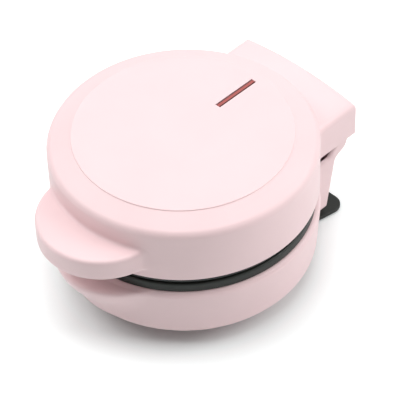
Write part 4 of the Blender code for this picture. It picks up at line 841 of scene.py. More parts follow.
def base_field(plan):
    """Distance field of the base's outer form: round bowl, tab and hinge tower with its barrel."""
    s = plan.s
    taper = math.atan2(s.base_taper, plan.lip - plan.base_low)
    rim_width = plan.base_radius - plan.ring_radius

    def tab(x, y, z):
        side = np.hypot(x, y - plan.grip_y) - s.grip_radius
        under = side * math.cos(plan.grip_slope) + (plan.grip_low - z) * math.sin(plan.grip_slope)
        return round_max(side, under, s.grip_flare)

    def bowl(x, y, z):
        radius = np.hypot(x, y)
        wall = (radius - plan.base_radius) * math.cos(taper) + (plan.lip - z) * math.sin(taper)
        wall = round_min(wall, tab(x, y, z), s.grip_blend)
        top = z - plan.rim + s.lip_drop * np.clip((radius - plan.ring_radius) / rim_width, 0, 1)
        out = np.clip((radius - plan.base_radius) / s.grip_blend, 0, 1)
        edge = s.lip_round + (s.grip_edge - s.lip_round) * out
        return round_max(round_max(wall, top, edge), plan.base_low - z, s.base_foot)

    def tower(x, y, z):
        rear = (y - plan.heel_y) * math.cos(plan.lean) - (z - plan.base_low) * math.sin(plan.lean)
        post = round_max(np.maximum(rear, z - plan.tower_top), plan.tower_low - z, s.tower_foot)
        barrel = np.hypot(y - plan.hinge_y, z - plan.hinge_z) - s.barrel
        face = (z - plan.hinge_z) * math.sin(BARREL_TILT) - (y - plan.hinge_y) * math.cos(BARREL_TILT)
        outline = round_min(post, round_max(barrel, face - s.barrel_face, s.edge), s.neck_blend)
        form = round_max(outline, np.abs(x) - plan.tower_half, s.tower_edge)
        return np.maximum(form, plan.hood_front - y)

    def distance(x, y, z):
        form = round_min(bowl(x, y, z), tower(x, y, z), s.tower_blend)
        room = np.maximum(np.hypot(x, y) - plan.ring_radius - GAP, plan.rim - z)
        return np.maximum(form, -room)

    return distance


def make_base_form(plan):
    """Solid outer form of the base. Each mark of its grid is a start and the step from there on."""
    s = plan.s
    radii = stepped([
        (3 * MM, 6 * MM), (plan.ring_radius - 6 * MM, 0.75 * MM), (plan.ring_radius - 0.5 * MM, 0.35 * MM),
        (plan.base_radius + 1 * MM, 0.7 * MM)], plan.hinge_y + s.barrel + 18 * MM)
    heights = stepped([
        (plan.tower_low - 0.6 * MM, 0.5 * MM), (plan.base_low + s.base_foot + 1 * MM, 1.4 * MM),
        (plan.lip - 2.5 * MM, 0.3 * MM), (plan.rim + 0.8 * MM, 0.6 * MM)],
        plan.hinge_z + s.barrel + 1 * MM)
    angles = sector_angles(BASE_HINGE_SECTOR)
    return polar_skin("base_casing", base_field(plan), angles, radii, heights, plan.at)


def cut_base_form(plan, casing):
    """Hollow the base's form: bowl and tab."""
    s = plan.s
    foot_radius = plan.base_radius - s.base_taper
    cavity = rounded([
        (0, plan.base_floor),
        (foot_radius - s.wall, plan.base_floor, s.base_foot - s.wall),
        (plan.base_radius - s.wall, plan.rim - s.mouth_depth - s.undercut),
        (plan.mouth, plan.rim - s.mouth_depth),
        (plan.mouth, plan.rim + OVERRUN),
        (0, plan.rim + OVERRUN),
    ])
    cut(casing, turned("base_cavity", cavity, SHELL_SEGMENTS, plan.at))
    inset = s.wall / math.cos(plan.grip_slope)
    cavity = rounded([
        (0, plan.grip_foot),
        (s.grip_foot_radius - inset, plan.grip_foot),
        (s.grip_radius - inset, plan.grip_low, s.grip_flare),
        (s.grip_radius - inset, plan.lip - s.wall, s.wall / 2),
        (0, plan.lip - s.wall),
    ])
    cut(casing, turned("grip_cavity", cavity, SHELL_SEGMENTS, (0, plan.axis_y + plan.grip_y, 0)))


def cut_tower(plan, casing):
    """Hollow the hinge tower: cavity, wells, hinge slot, pin bores, gland hole and sleeve hole."""
    s, h = plan.s, plan.h
    half = plan.tower_half - s.wall
    top = plan.slot_floor - s.tower_roof
    heel = plan.heel_y - s.wall
    outline = [
        (plan.hood_front - s.wall, plan.base_floor),
        (heel, plan.base_floor),
        (heel + math.tan(plan.lean) * (top - plan.base_floor), top),
        (plan.hood_front - s.wall, top),
    ]
    cut(casing, extruded("tower_cavity", outline, -half, half, "X", plan.at))
    for side in (-1, 1):
        cut(casing, make_well(plan, side))
    slot = block(
        "hinge_slot", (-plan.ear_inner, plan.hood_front, plan.slot_floor),
        (plan.ear_inner, plan.hood_reach + OVERRUN, plan.hinge_z + s.barrel + OVERRUN), plan.at)
    cut(casing, soften(slot, s.edge, 2))
    reach = plan.tower_half - h.ear_cap + GAP
    bore = rod_profile(plan.pin_bore, -reach, reach)
    cut(casing, turned("ear_bore", bore, SMALL_SEGMENTS, plan.hinge, ALONG_X))
    hole = rod_profile(h.gland_bore + h.gland_wall + GAP, -s.wall - OVERRUN, OVERRUN)
    cut(casing, gland_turned(plan, "gland_hole", hole))
    place = (0, plan.hinge_y - h.sleeve_lead)
    cut(casing, rods(plan, "sleeve_hole", h.sleeve + GAP, top - OVERRUN, plan.slot_floor + OVERRUN, [place]))


def add_base_bosses(plan, casing):
    """Bosses on the base's floor, with sunk holes for the base screws and pilots for the foot's screws."""
    s, f = plan.s, plan.f
    low = plan.base_low + s.wall / 2
    high = plan.base_floor + s.boss_height
    bottom = plan.base_low - OVERRUN
    places = screw_places("base_screw", 4, plan)
    head = plan.head_radius + CLEARANCE
    fuse(casing, rods(plan, "base_bosses", head + s.boss_wall / 2, low, high, places))
    sink = plan.base_low + f.screw_head + CLEARANCE
    hole = stepped_profile(head, f.screw + CLEARANCE, bottom, sink, high + OVERRUN)
    cut(casing, turned("base_holes", hole, SMALL_SEGMENTS, plan.at, places=places))
    places = screw_places("wrap_screw", 2, plan)
    bore = f.screw + GAP
    fuse(casing, rods(plan, "wrap_bosses", bore + s.boss_wall, low, high - CLEARANCE, places))
    cut(casing, rods(plan, "wrap_pilots", bore, bottom, high + OVERRUN, places))


def make_well(plan, side):
    """Cutter for the hollow between an ear's block and the tower's side wall, behind the bowl's rim."""
    s = plan.s
    near, far = plan.ear_inner + s.hood_wall, plan.tower_half - s.hood_wall
    outline = []
    for step in range(ARC_STEPS + 1):
        x = near + (far - near) * step / ARC_STEPS
        outline.append((side * x, math.sqrt(plan.base_radius ** 2 - x ** 2)))
    rear = plan.hinge_y - plan.lug_radius + s.hood_wall
    outline += [(side * far, rear), (side * near, rear)]
    low = plan.tower_top - s.tower_well
    return extruded(f"tower_well_{side}", outline, low, plan.lid_edge + OVERRUN, "Z", plan.at)


def gland_turned(plan, name, profile):
    """Turn a profile about the rear wall's own normal: heights run outward from the outer face."""
    s, h = plan.s, plan.h
    flange = h.gland_bore + h.gland_wall + h.gland_overhang
    z = plan.base_low + s.base_foot + flange + h.gland_margin
    y = plan.heel_y + math.tan(plan.lean) * (z - plan.base_low)
    return turned(name, profile, SMALL_SEGMENTS, (0, plan.axis_y + y, z), (-math.pi / 2 - plan.lean, 0, 0))


def facing(plan, profile, upper):
    """A profile as it is for the base, or mirrored for the lid."""
    if not upper:
        return profile
    return [(radius, plan.mirrored(height)) for radius, height in profile]


def span(plan, low, high, upper):
    """Lower and upper height of a span as it is for the base, or mirrored for the lid."""
    if not upper:
        return low, high
    return plan.mirrored(high), plan.mirrored(low)


def tube(name, points, radius, location):
    """A solid round tube along points, with filled ends."""
    curve = bpy.data.curves.new(name, "CURVE")
    curve.dimensions = "3D"
    curve.bevel_depth = radius
    curve.bevel_resolution = TUBE_STEPS
    curve.use_fill_caps = True
    spline = curve.splines.new("POLY")
    spline.points.add(len(points) - 1)
    for target, point in zip(spline.points, points):
        target.co = (*point, 1)
    guide = bpy.data.objects.new(name + "_line", curve)
    bpy.context.scene.collection.objects.link(guide)
    bpy.context.view_layer.update()
    mesh = bpy.data.meshes.new_from_object(guide.evaluated_get(bpy.context.evaluated_depsgraph_get()))
    bpy.data.objects.remove(guide, do_unlink=True)
    form = bmesh.new()
    form.from_mesh(mesh)
    bpy.data.meshes.remove(mesh)
    bmesh.ops.remove_doubles(form, verts=form.verts, dist=NUDGE)
    return add_object(name, form, location)


def make_base_ring(plan):
    """Black ring on the base's rim, which carries the lower plate and takes the base screws."""
    p, f = plan.p, plan.f
    seat = plan.rim + GAP
    lip_outer = plan.mouth - CLEARANCE
    lip_inner = lip_outer - p.ring_lip
    lip_bottom = plan.rim - p.ring_lip_depth + GAP
    profile = rounded([
        (plan.ring_radius, seat, p.ring_foot),
        (plan.ring_radius, plan.ring_top, p.ring_edge),
        (plan.seat_radius, plan.ring_top, p.ring_edge / 2),
        (plan.seat_radius, plan.seat),
        (plan.ledge_radius, plan.seat),
        (plan.ledge_radius, plan.ledge_back),
        (lip_inner, plan.ledge_back),
        (lip_inner, lip_bottom, p.ring_foot),
        (lip_outer, lip_bottom, p.ring_foot),
        (lip_outer, seat),
    ])
    ring = turned("base_ring", profile, SHELL_SEGMENTS, plan.at)
    places = screw_places("base_screw", 4, plan)
    low = plan.base_floor + plan.s.boss_height + GAP
    bore = f.screw + GAP
    fuse(ring, rods(plan, "ring_bosses", bore + f.boss_wall, low, (plan.ledge_back + plan.seat) / 2, places))
    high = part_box("base_screw_1")[1].z + CLEARANCE
    cut(ring, rods(plan, "ring_pilots", bore, low - OVERRUN, high, places))
    return ring


def make_lid_ring(plan):
    """Black ring inside the lid, which carries the upper plate and takes the lid screws."""
    p, f = plan.p, plan.f
    outer = plan.s.lid_radius - plan.s.wall - GAP
    bottom = plan.lid_ring_low
    back = plan.mirrored(plan.ledge_back)
    seat = plan.mirrored(plan.seat)
    profile = rounded([
        (outer, bottom, p.ring_edge / 2),
        (outer, back),
        (plan.ledge_radius, back),
        (plan.ledge_radius, seat),
        (plan.seat_radius, seat),
        (plan.seat_radius, bottom, p.ring_edge / 2),
    ])
    ring = turned("lid_ring", profile, SHELL_SEGMENTS, plan.at)
    head = plan.head_radius + CLEARANCE
    sink = bottom + f.screw_head + CLEARANCE
    hole = stepped_profile(head, f.screw + CLEARANCE, bottom - OVERRUN, sink, back + OVERRUN)
    places = screw_places("lid_screw", 4, plan)
    cut(ring, turned("lid_screw_holes", hole, SMALL_SEGMENTS, plan.at, places=places))
    return ring


def stud_levels(plan):
    """Heights and insets of a stud's outline, from its hollow foot to its rounded top."""
    p = plan.p
    top = plan.parting - p.web / 2
    levels = [(plan.pit - CLEARANCE, -p.stud_foot)]
    for step in range(1, ROUND_STEPS + 1):
        angle = math.pi / 2 * step / ROUND_STEPS
        levels.append((plan.pit + p.stud_foot * (1 - math.cos(angle)), -p.stud_foot * (1 - math.sin(angle))))
    for step in range(ROUND_STEPS + 1):
        angle = math.pi / 2 * step / ROUND_STEPS
        inset = p.stud_draft / 2 + p.stud_edge * (1 - math.cos(angle))
        levels.append((top - p.stud_edge * (1 - math.sin(angle)), inset))
    return levels


def stud_outline(plan, x, y, inset):
    """Outline of a stud at an inset, trimmed to the round field."""
    p = plan.p
    half = (p.stud_pitch - p.stud_groove) / 2
    angles = np.arange(STUD_SEGMENTS) * math.tau / STUD_SEGMENTS
    near = np.zeros(STUD_SEGMENTS)
    far = np.full(STUD_SEGMENTS, p.stud_pitch)
    for _ in range(HALVINGS):
        reach = (near + far) / 2
        px = x + reach * np.cos(angles)
        py = y + reach * np.sin(angles)
        square = round_max(np.abs(px - x) - half, np.abs(py - y) - half, p.stud_corner)
        outside = round_max(square, np.hypot(px, py) - plan.stud_field, p.stud_corner) + inset > 0
        far = np.where(outside, reach, far)
        near = np.where(outside, near, reach)
    return zip(px, py)


def make_studs(plan, name, upper):
    """All studs of a plate as one object."""
    p = plan.p
    count = int(plan.stud_field / p.stud_pitch)
    form = bmesh.new()
    for column in range(-count, count + 1):
        for row in range(-count, count + 1):
            x, y = column * p.stud_pitch, row * p.stud_pitch
            if math.hypot(x, y) > plan.stud_field:
                continue
            rings = []
            for height, inset in stud_levels(plan):
                level = plan.mirrored(height) if upper else height
                rings.append([form.verts.new((*point, level)) for point in stud_outline(plan, x, y, inset)])
            form.faces.new(rings[0])
            form.faces.new(rings[-1])
            for ring, following in zip(rings, rings[1:]):
                bridge(form, ring, following)
    return add_object(name, form, plan.at)


def make_plate(plan, name, upper):
    """Cast plate: a dish with a flange, rounded studs on its face and a boss on its back."""
    p, f = plan.p, plan.f
    rim = plan.parting - GAP
    profile = rounded([
        (0, plan.pit),
        (plan.floor_radius, plan.pit, p.floor / 2),
        (plan.cooking_radius, rim, p.ring_edge),
        (plan.plate_radius, rim, p.ring_edge / 2),
        (plan.plate_radius, rim - p.flange, p.ring_edge / 4),
        (plan.ledge_radius - CLEARANCE, rim - p.flange),
        (plan.ledge_radius - p.floor, plan.plate_back, p.floor / 2),
        (0, plan.plate_back),
    ])
    plate = turned(name, facing(plan, profile, upper), PLATE_SEGMENTS, plan.at)
    fuse(plate, make_studs(plan, name + "_studs", upper))
    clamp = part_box("lower_element_clamp")[1].z
    boss = rod_profile(f.screw + GAP + f.plate_boss_wall, plan.plate_back + p.floor / 2, clamp + GAP)
    fuse(plate, turned("plate_boss", facing(plan, boss, upper), SMALL_SEGMENTS, plan.at))
    pilot = rod_profile(f.screw + GAP, plan.plate_back + GAP, clamp - OVERRUN)
    cut(plate, turned("plate_pilot", facing(plan, pilot, upper), SMALL_SEGMENTS, plan.at))
    return plate


def element_ends(plan):
    """Start and end angle of the element's loop. Its tails pass on both sides of the lamp holder."""
    p = plan.p
    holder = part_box("lamp_holder")
    tail = (holder[1].x - holder[0].x) / 2 + p.element + p.tail_margin
    circle, bend = plan.element_circle, p.element_bend
    half_gap = math.asin(tail / math.hypot(circle, bend)) + math.atan(bend / circle)
    return math.pi / 2 + half_gap, math.pi * 5 / 2 - half_gap


def tail_points(plan, angle, direction, drop):
    """Points of a tail of the element, which bends away from the plate."""
    p = plan.p
    circle, bend = plan.element_circle, p.element_bend
    start = Vector((circle * math.cos(angle), circle * math.sin(angle), plan.element_z))
    step = Vector((-math.sin(angle), math.cos(angle), 0)) * direction
    points = []
    for index in range(1, 2 * ARC_STEPS + 1):
        turn = math.pi / 2 * index / (2 * ARC_STEPS)
        points.append(start + step * bend * math.sin(turn) - Vector((0, 0, bend * (1 - math.cos(turn)))))
    points.append(start + step * bend - Vector((0, 0, drop)))
    return points


def make_element(plan, name, upper):
    """Sheathed heating element: an open loop with two tails, each with a bead and a thin pin."""
    p = plan.p
    start, end = element_ends(plan)
    loop = []
    for step in range(ELEMENT_STEPS + 1):
        angle = start + (end - start) * step / ELEMENT_STEPS
        loop.append(Vector((
            plan.element_circle * math.cos(angle), plan.element_circle * math.sin(angle), plan.element_z)))
    sheath = p.element_tail - p.terminal_length
    points = tail_points(plan, start, -1, sheath)[::-1] + loop + tail_points(plan, end, 1, sheath)
    tip = points[0].z
    ends = [tuple(points[0][:2]), tuple(points[-1][:2])]
    if upper:
        for point in points:
            point.z = plan.mirrored(point.z)
    element = tube(name, points, p.element, plan.at)
    bead = p.element - p.terminal
    low = tip - p.terminal_length
    profile = rounded([
        (0, low), (p.terminal, low, p.terminal / 2), (p.terminal, tip - bead),
        (p.element - GAP, tip - bead / 2), (p.element - GAP, tip + bead), (0, tip + bead)], ROUND_STEPS)
    fuse(element, turned(name + "_pins", facing(plan, profile, upper), SMALL_SEGMENTS, plan.at, places=ends))
    return element


def make_clamp(plan, name):
    """Steel bar with soft edges that presses the element against the plate."""
    low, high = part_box(name)
    corner = (high.y - low.y) / 4
    outline = rounded([
        (low.x, low.y, corner), (high.x, low.y, corner), (high.x, high.y, corner), (low.x, high.y, corner)])
    clamp = extruded(name.replace("element", "bar"), outline, low.z, high.z, "Z")
    soften(clamp, (high.z - low.z) / 4, 2)
    cut(clamp, rods(plan, "clamp_hole", plan.f.screw + CLEARANCE, low.z - OVERRUN, high.z + OVERRUN))
    return clamp


def make_shield(plan, name, upper):
    """Thin steel dish behind the element, with a pressed ring and two holes for the tails."""
    p = plan.p
    low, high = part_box("lower_heat_shield")
    flange = plan.ledge_radius + p.shield_overlap
    mouth = flange - p.shield_flange
    floor = mouth - p.shield_draft
    top, bottom, thin = high.z, low.z, p.shield
    profile = rounded([
        (flange, top - thin),
        (mouth, top - thin, thin),
        (floor, bottom, 4 * thin),
        (0, bottom),
        (0, bottom + thin),
        (floor - thin / 2, bottom + thin, 3 * thin),
        (mouth - thin, top, thin),
        (flange, top),
    ], ROUND_STEPS)
    shield = turned(name, facing(plan, profile, upper), PLATE_SEGMENTS, plan.at)
    low, high = span(plan, bottom - OVERRUN, bottom + OVERRUN, upper)
    start, end = element_ends(plan)
    tips = (tail_points(plan, start, -1, p.element_tail)[-1], tail_points(plan, end, 1, p.element_tail)[-1])
    cut(shield, rods(plan, "tail_holes", p.element + CLEARANCE, low, high, [(tip.x, tip.y) for tip in tips]))
    return shield


def make_thermostat():
    """Round bimetal thermostat: a cap on a moulded body with two pierced terminal tabs."""
    low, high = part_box("thermostat")
    middle = (low + high) / 2
    radius = (high.x - low.x) / 2
    body_low = low.z + (high.z - low.z) / 3
    step = (high.z - body_low) / 3
    profile = rounded([
        (0, body_low), (radius, body_low, step / 4), (radius, body_low + step, step / 4),
        (radius - step / 3, body_low + step), (radius - step / 3, high.z, step / 2),
        (0, high.z)], ROUND_STEPS)
    body = turned("thermostat_body", profile, 2 * SMALL_SEGMENTS, (middle.x, middle.y, 0))
    for side in (-1, 1):
        x = side * radius / 2
        tab = rounded([
            (middle.y - TAB_HALF, low.z, TAB_HALF / 2), (middle.y + TAB_HALF, low.z, TAB_HALF / 2),
            (middle.y + TAB_HALF, body_low + GAP), (middle.y - TAB_HALF, body_low + GAP)])
        blade = extruded("terminal_tab", tab, x - TAB_THIN / 2, x + TAB_THIN / 2, "X")
        hole = rod_profile(TAB_HALF / 3, -OVERRUN, OVERRUN)
        cut(blade, turned("tab_hole", hole, SMALL_SEGMENTS, (x, middle.y, (low.z + body_low) / 2), ALONG_X))
        fuse(body, blade)
    return body


def make_fuse():
    """Thermal fuse: a turned body with crimped ends in a bent clip."""
    low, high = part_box("thermal_fuse")
    middle = (low + high) / 2
    reach = (high.x - low.x) / 2
    side = (high.y - low.y) / 2
    radius = side - CLIP_THIN
    height = low.z + side
    profile = rounded([
        (0, -reach), (radius / 2, -reach, radius / 6), (radius, radius / 2 - reach, radius / 6),
        *((radius * across, reach * along) for across, along in FUSE_CRIMP),
        (radius, reach - radius / 2, radius / 6), (radius / 2, reach, radius / 6), (0, reach)], ROUND_STEPS)
    body = turned("fuse_body", profile, SMALL_SEGMENTS, (middle.x, middle.y, height), ALONG_X)
    half = reach * FUSE_CLIP_SHARE
    clip = block("fuse_clip", (-half, middle.y - side, low.z), (half, middle.y + side, high.z))
    fuse(body, soften(clip, side / 4))
    return body


def make_terminal_block():
    """Two-way terminal block with two raised towers, wire holes and screw wells."""
    low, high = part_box("terminal_block")
    middle = (low + high) / 2
    step = (high.z - low.z) * BLOCK_BODY_SHARE
    body = block("terminal_body", tuple(low), (high.x, high.y, low.z + step))
    soften(body, GAP)
    quarter = (high.x - low.x) / 4
    for side in (-1, 1):
        x = middle.x + side * quarter
        inner = quarter * BLOCK_TOWER_SHARE
        corner = (x + inner, high.y - GAP, high.z)
        tower = block("terminal_tower", (x - inner, low.y + GAP, low.z + step / 2), corner)
        fuse(body, soften(tower, CLEARANCE))
        wire = rod_profile(WIRE_HOLE, low.y - middle.y - OVERRUN, high.y - middle.y + OVERRUN)
        cut(body, turned("wire_hole", wire, SMALL_SEGMENTS, (x, middle.y, middle.z), ALONG_Y))
        well = rod_profile(WIRE_HOLE, middle.z, high.z + OVERRUN)
        cut(body, turned("screw_well", well, SMALL_SEGMENTS, (x, middle.y, 0)))
    return body


def make_lamp_holder():
    """Open trough under the lens, with soft edges and two notched ribs that carry the lamp."""
    low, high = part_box("lamp_holder")
    lamp_low, lamp_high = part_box("indicator_lamp")
    holder = block("lamp_trough", tuple(low), tuple(high))
    soften(holder, CLEARANCE)
    wall = Vector((HOLDER_WALL, HOLDER_WALL, HOLDER_WALL))
    mouth = (high.x - HOLDER_WALL, high.y - HOLDER_WALL, high.z + OVERRUN)
    hollow = block("trough_hollow", tuple(low + wall), mouth)
    cut(holder, soften(hollow, CLEARANCE))
    middle = (lamp_low.y + lamp_high.y) / 2
    reach = (lamp_high.y - lamp_low.y) / 3
    for side in (-1, 1):
        y = middle + side * reach
        rib = block(
            "trough_rib", (low.x + HOLDER_WALL / 2, y - HOLDER_WALL / 2, low.z + HOLDER_WALL / 2),
            (high.x - HOLDER_WALL / 2, y + HOLDER_WALL / 2, lamp_low.z - GAP))
        fuse(holder, rib)
    return holder


def make_lamp():
    """Small neon lamp: a round glass envelope with a drawn tip and a pinched base."""
    low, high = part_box("indicator_lamp")
    middle = (low + high) / 2
    radius = (high.x - low.x) / 2
    reach = (high.y - low.y) / 2
    pinch = LAMP_BASE_SHARE
    profile = rounded([
        (0, -reach), (radius * pinch, -reach, radius / 4), (radius, -reach * pinch, radius / 3),
        (radius, reach - radius, radius), (radius / 4, reach - radius / 3, radius / 5), (0, reach)],
        LAMP_STEPS)
    return turned("neon_lamp", profile, SMALL_SEGMENTS, tuple(middle), ALONG_Y)


def make_lens(plan):
    """Dark red lens: a tongue with soft edges in the lid's opening, on a flange below the ceiling."""
    s = plan.s
    low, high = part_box("indicator_window")
    flange_top = plan.lid_top - s.wall - GAP
    lens = block("lens", tuple(low), (high.x, high.y, flange_top))
    soften(lens, GAP, 2)
    back = plan.axis_y + plan.disc - s.window_margin
    half = s.window_half - s.window_gap
    front = back - s.window_length + s.window_gap
    top = plan.lid_top - s.window_recess
    tongue = block("lens_tongue", (-half, front, low.z + GAP), (half, back - s.window_gap, top))
    fuse(lens, soften(tongue, s.window_rim))
    return lens


def make_pin(plan, name, node):
    """Headed steel pin with a chamfered tip through a lug of the lid into an ear of the base."""
    low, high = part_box(node)
    middle = (low + high) / 2
    long = high.x - low.x
    head = (high.z - low.z) / 2
    side = 1 if middle.x > 0 else -1
    start = side * (middle.x - side * long / 2)
    radius = plan.h.pin
    profile = rounded([
        (0, start), (head, start, PIN_HEAD / 3), (head, start + PIN_HEAD, PIN_HEAD / 4),
        (radius, start + PIN_HEAD), (radius, start + long - radius / 4),
        (radius * PIN_TIP_SHARE, start + long), (0, start + long)], ROUND_STEPS)
    return turned(name, profile, SMALL_SEGMENTS, (0, middle.y, middle.z), (0, side * math.pi / 2, 0))


def make_sleeve(plan):
    """Rubber sleeve that leads the lid's wires from the tower to the hinge axis in one smooth bend."""
    h = plan.h
    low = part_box("hinge_wire_sleeve")[0].z
    y = plan.hinge_y - h.sleeve_lead
    corner = plan.slot_floor + GAP
    points = [Vector((0, y, low)), Vector((0, y, corner))]
    for step in range(1, SLEEVE_STEPS + 1):
        part = step / SLEEVE_STEPS
        points.append(Vector((0, y + h.sleeve_lead * part * part, corner + (plan.hinge_z - corner) * part)))
    points.append(Vector((0, plan.hinge_y + h.sleeve_head / 2, plan.hinge_z + h.sleeve_head)))
    return tube("wire_sleeve", points, h.sleeve, plan.at)


def make_gland(plan):
    """Rubber gland in the tower's rear wall, with rounded lips and the bore that a cord would take."""
    s, h = plan.s, plan.h
    inner = -s.wall * math.cos(plan.lean) - CLEARANCE
    neck = h.gland_bore + h.gland_wall
    flange = neck + h.gland_overhang
    edge = h.gland_flange / 3
    profile = rounded([
        (h.gland_bore, inner - h.gland_nut, edge / 2),
        (flange, inner - h.gland_nut, edge),
        (flange, inner, edge / 2),
        (neck, inner),
        (neck, GAP),
        (flange, GAP, edge / 3),
        (flange, h.gland_flange, 2 * edge),
        (h.gland_bore, h.gland_flange, edge),
    ])
    return gland_turned(plan, "gland", profile)


def make_cover(plan):
    """Pink plate that closes the handle tab from below, held by two pegs."""
    s = plan.s
    place = (0, plan.axis_y + plan.handle_y, 0)
    low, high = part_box("handle_cover")
    top = plan.handle_low + s.cover_thickness
    radius = plan.handle_radius - s.wall - GAP
    cover = turned("tab_cover", rod_profile(radius, low.z, top), SHELL_SEGMENTS, place)
    wall = rod_profile(s.lid_radius + GAP, low.z - OVERRUN, top + OVERRUN)
    cut(cover, turned("wall_clearance", wall, SHELL_SEGMENTS, plan.at))
    soften(cover, GAP, 2)
    pegs = rounded([
        (0, low.z + GAP), (s.peg, low.z + GAP), (s.peg, high.z, s.peg / 3), (0, high.z)])
    fuse(cover, turned("cover_pegs", pegs, SMALL_SEGMENTS, plan.at, places=plan.peg_places))
    return cover


def foot_outline(plan):
    """Outline of the foot plate: two broad rounded ends and a narrower waist."""
    f = plan.f
    rear = plan.heel_y + f.overhang
    rear_half = plan.tower_half + f.side_overhang
    front = f.front_inset - (plan.base_radius - plan.s.base_taper)
    right = [
        (rear_half, rear, f.corner),
        (rear_half - f.rear_taper, rear - f.rear_length, f.corner),
        (f.pedestal_half + f.waist_margin, f.waist_offset, 2 * f.corner),
        (rear_half - f.taper, front, f.corner),
    ]
    left = [(-x, y, radius) for x, y, radius in reversed(right)]
    return rounded(right + left, 3 * ARC_STEPS)


def make_foot_plate(plan):
    """Black foot plate with its pedestal, pockets for the feet and two sunk screw holes."""
    f = plan.f
    low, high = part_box("cord_wrap_foot")
    plate_top = low.z + f.plate
    plate = extruded("foot_plate", foot_outline(plan), low.z, plate_top, "Z", plan.at)
    soften(plate, f.edge)
    half, reach, corner = f.pedestal_half, f.pedestal_reach, f.pedestal_corner
    outline = rounded([
        (-half, -reach, corner), (half, -reach, corner), (half, reach, corner), (-half, reach, corner)])
    pedestal = extruded("pedestal", outline, plate_top - f.plate / 2, high.z, "Z", plan.at)
    fuse(plate, soften(pedestal, GAP, 2))
    places = [tuple(middle_of(node, plan)[:2]) for node in RUBBER_FEET]
    radius = plan.rubber_radius + GAP
    cut(plate, rods(plan, "foot_pockets", radius, low.z - OVERRUN, low.z + f.pocket, places))
    sink = low.z + f.screw_head + CLEARANCE
    hole = stepped_profile(
        plan.head_radius + CLEARANCE, f.screw + CLEARANCE, low.z - OVERRUN, sink, high.z + OVERRUN)
    places = screw_places("wrap_screw", 2, plan)
    cut(plate, turned("foot_holes", hole, SMALL_SEGMENTS, plan.at, places=places))
    return plate


def make_rubber_foot(node):
    """Rubber disc with a rounded edge and a shallow ring on its sole."""
    low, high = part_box(node)
    middle = (low + high) / 2
    radius = (high.x - low.x) / 2
    rise = high.z - low.z
    inner, outer = SOLE_RING_SHARES
    profile = rounded([
        (0, low.z + rise / 8), (radius * inner, low.z + rise / 8), (radius * outer, low.z, rise / 10),
        (radius, low.z, rise / 4), (radius, high.z, rise / 8), (0, high.z)], ROUND_STEPS)
    return turned(node.replace("rubber_foot", "foot_pad"), profile, SMALL_SEGMENTS, (middle.x, middle.y, 0))


def make_screw(plan, name, node, head_up=False):
    """Pan-head screw with a cross recess and a ridged shank."""
    f = plan.f
    low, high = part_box(node)
    middle = (low + high) / 2
    radius = (high.x - low.x) / 2
    long = high.z - low.z
    head = f.screw_head
    profile = [(radius * across, head * up) for across, up in PAN_HEAD]
    profile += [(radius - head * 0.1, head), (f.screw, head)]
    core = f.screw * THREAD_CORE
    for ridge in range(int((long - head - f.screw) / f.thread)):
        z = head + f.thread * (ridge + 0.5)
        profile += [(core, z - f.thread / 4), (f.screw, z), (core, z + f.thread / 4)]
    profile += [(f.screw * SCREW_TIP, long - f.screw), (0, long)]
    if head_up:
        profile = [(r, long - z) for r, z in profile]
    screw = turned(name, profile, SCREW_SEGMENTS, (middle.x, middle.y, low.z))
    top = long if head_up else 0
    depth = head * RECESS_DEPTH
    reach, thin = radius * RECESS_REACH, radius * RECESS_HALF
    for bearing in (RECESS_BEARING, RECESS_BEARING + math.pi / 2):
        blade = block("screw_recess", (-reach, -thin, top - depth), (reach, thin, top + depth))
        blade.location = (middle.x, middle.y, low.z)
        blade.rotation_euler = (0, 0, bearing)
        cut(screw, blade)
    return screw


SIDES = (("base", "lower", False), ("lid", "upper", True))
SCREW_ROWS = (("lid", "lid_screw", 4), ("base", "base_screw", 4), ("base", "wrap_screw", 2))


def dress(item, body, slot_name, *nodes):
    """Let a finished piece ride on its body, stand for its nodes and take its finish."""
    item.data.shade_smooth()
    item.data.set_sharp_from_angle(angle=SMOOTH_ANGLE)
    item.data.materials.clear()
    item.data.materials.append(material_for(slot_name))
    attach(item, body)
    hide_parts(*nodes)


def material_for(slot_name):
    """The material of a slot, which the finishes operator has made."""
    return bpy.data.materials[slot_name + "_finish"]


class Tree:
    """A node tree, with a short way to add a node whose sockets take values or other outputs."""

    def __init__(self, tree):
        self.tree = tree

    def set(self, node, values):
        """Give sockets of a node a plain value, or link an output to them."""
        for socket, value in values.items():
            if isinstance(value, bpy.types.NodeSocket):
                self.tree.links.new(value, node.inputs[socket])
            else:
                node.inputs[socket].default_value = value

    def add(self, kind, values, **settings):
        """Add a shader node."""
        node = self.tree.nodes.new("ShaderNode" + kind)
        for name, setting in settings.items():
            setattr(node, name, setting)
        self.set(node, values)
        return node

    def group(self, name, values):
        """Add a shared effect."""
        return self.add("Group", values, node_tree=bpy.data.node_groups[name])

    def spread(self, value, low, high, to_low, to_high):
        """Map a value from one span to another, held at its ends."""
        span = {"Value": value, "From Min": low, "From Max": high, "To Min": to_low, "To Max": to_high}
        return self.add("MapRange", span).outputs[0]

    def noise(self, scale, detail):
        """Smooth noise in the piece's own coordinates: scale is in waves per metre."""
        place = self.add("TexCoord", {}).outputs["Object"]
        return self.add("TexNoise", {"Vector": place, "Scale": scale, "Detail": detail}).outputs[0]

    def times(self, first, second):
        """Product of two values."""
        return self.add("Math", {0: first, 1: second}, operation="MULTIPLY").outputs[0]

    def mix(self, part, first, second):
        """Mix of two colours."""
        return self.add("Mix", {"Factor": part, 6: first, 7: second}, data_type="RGBA").outputs[2]


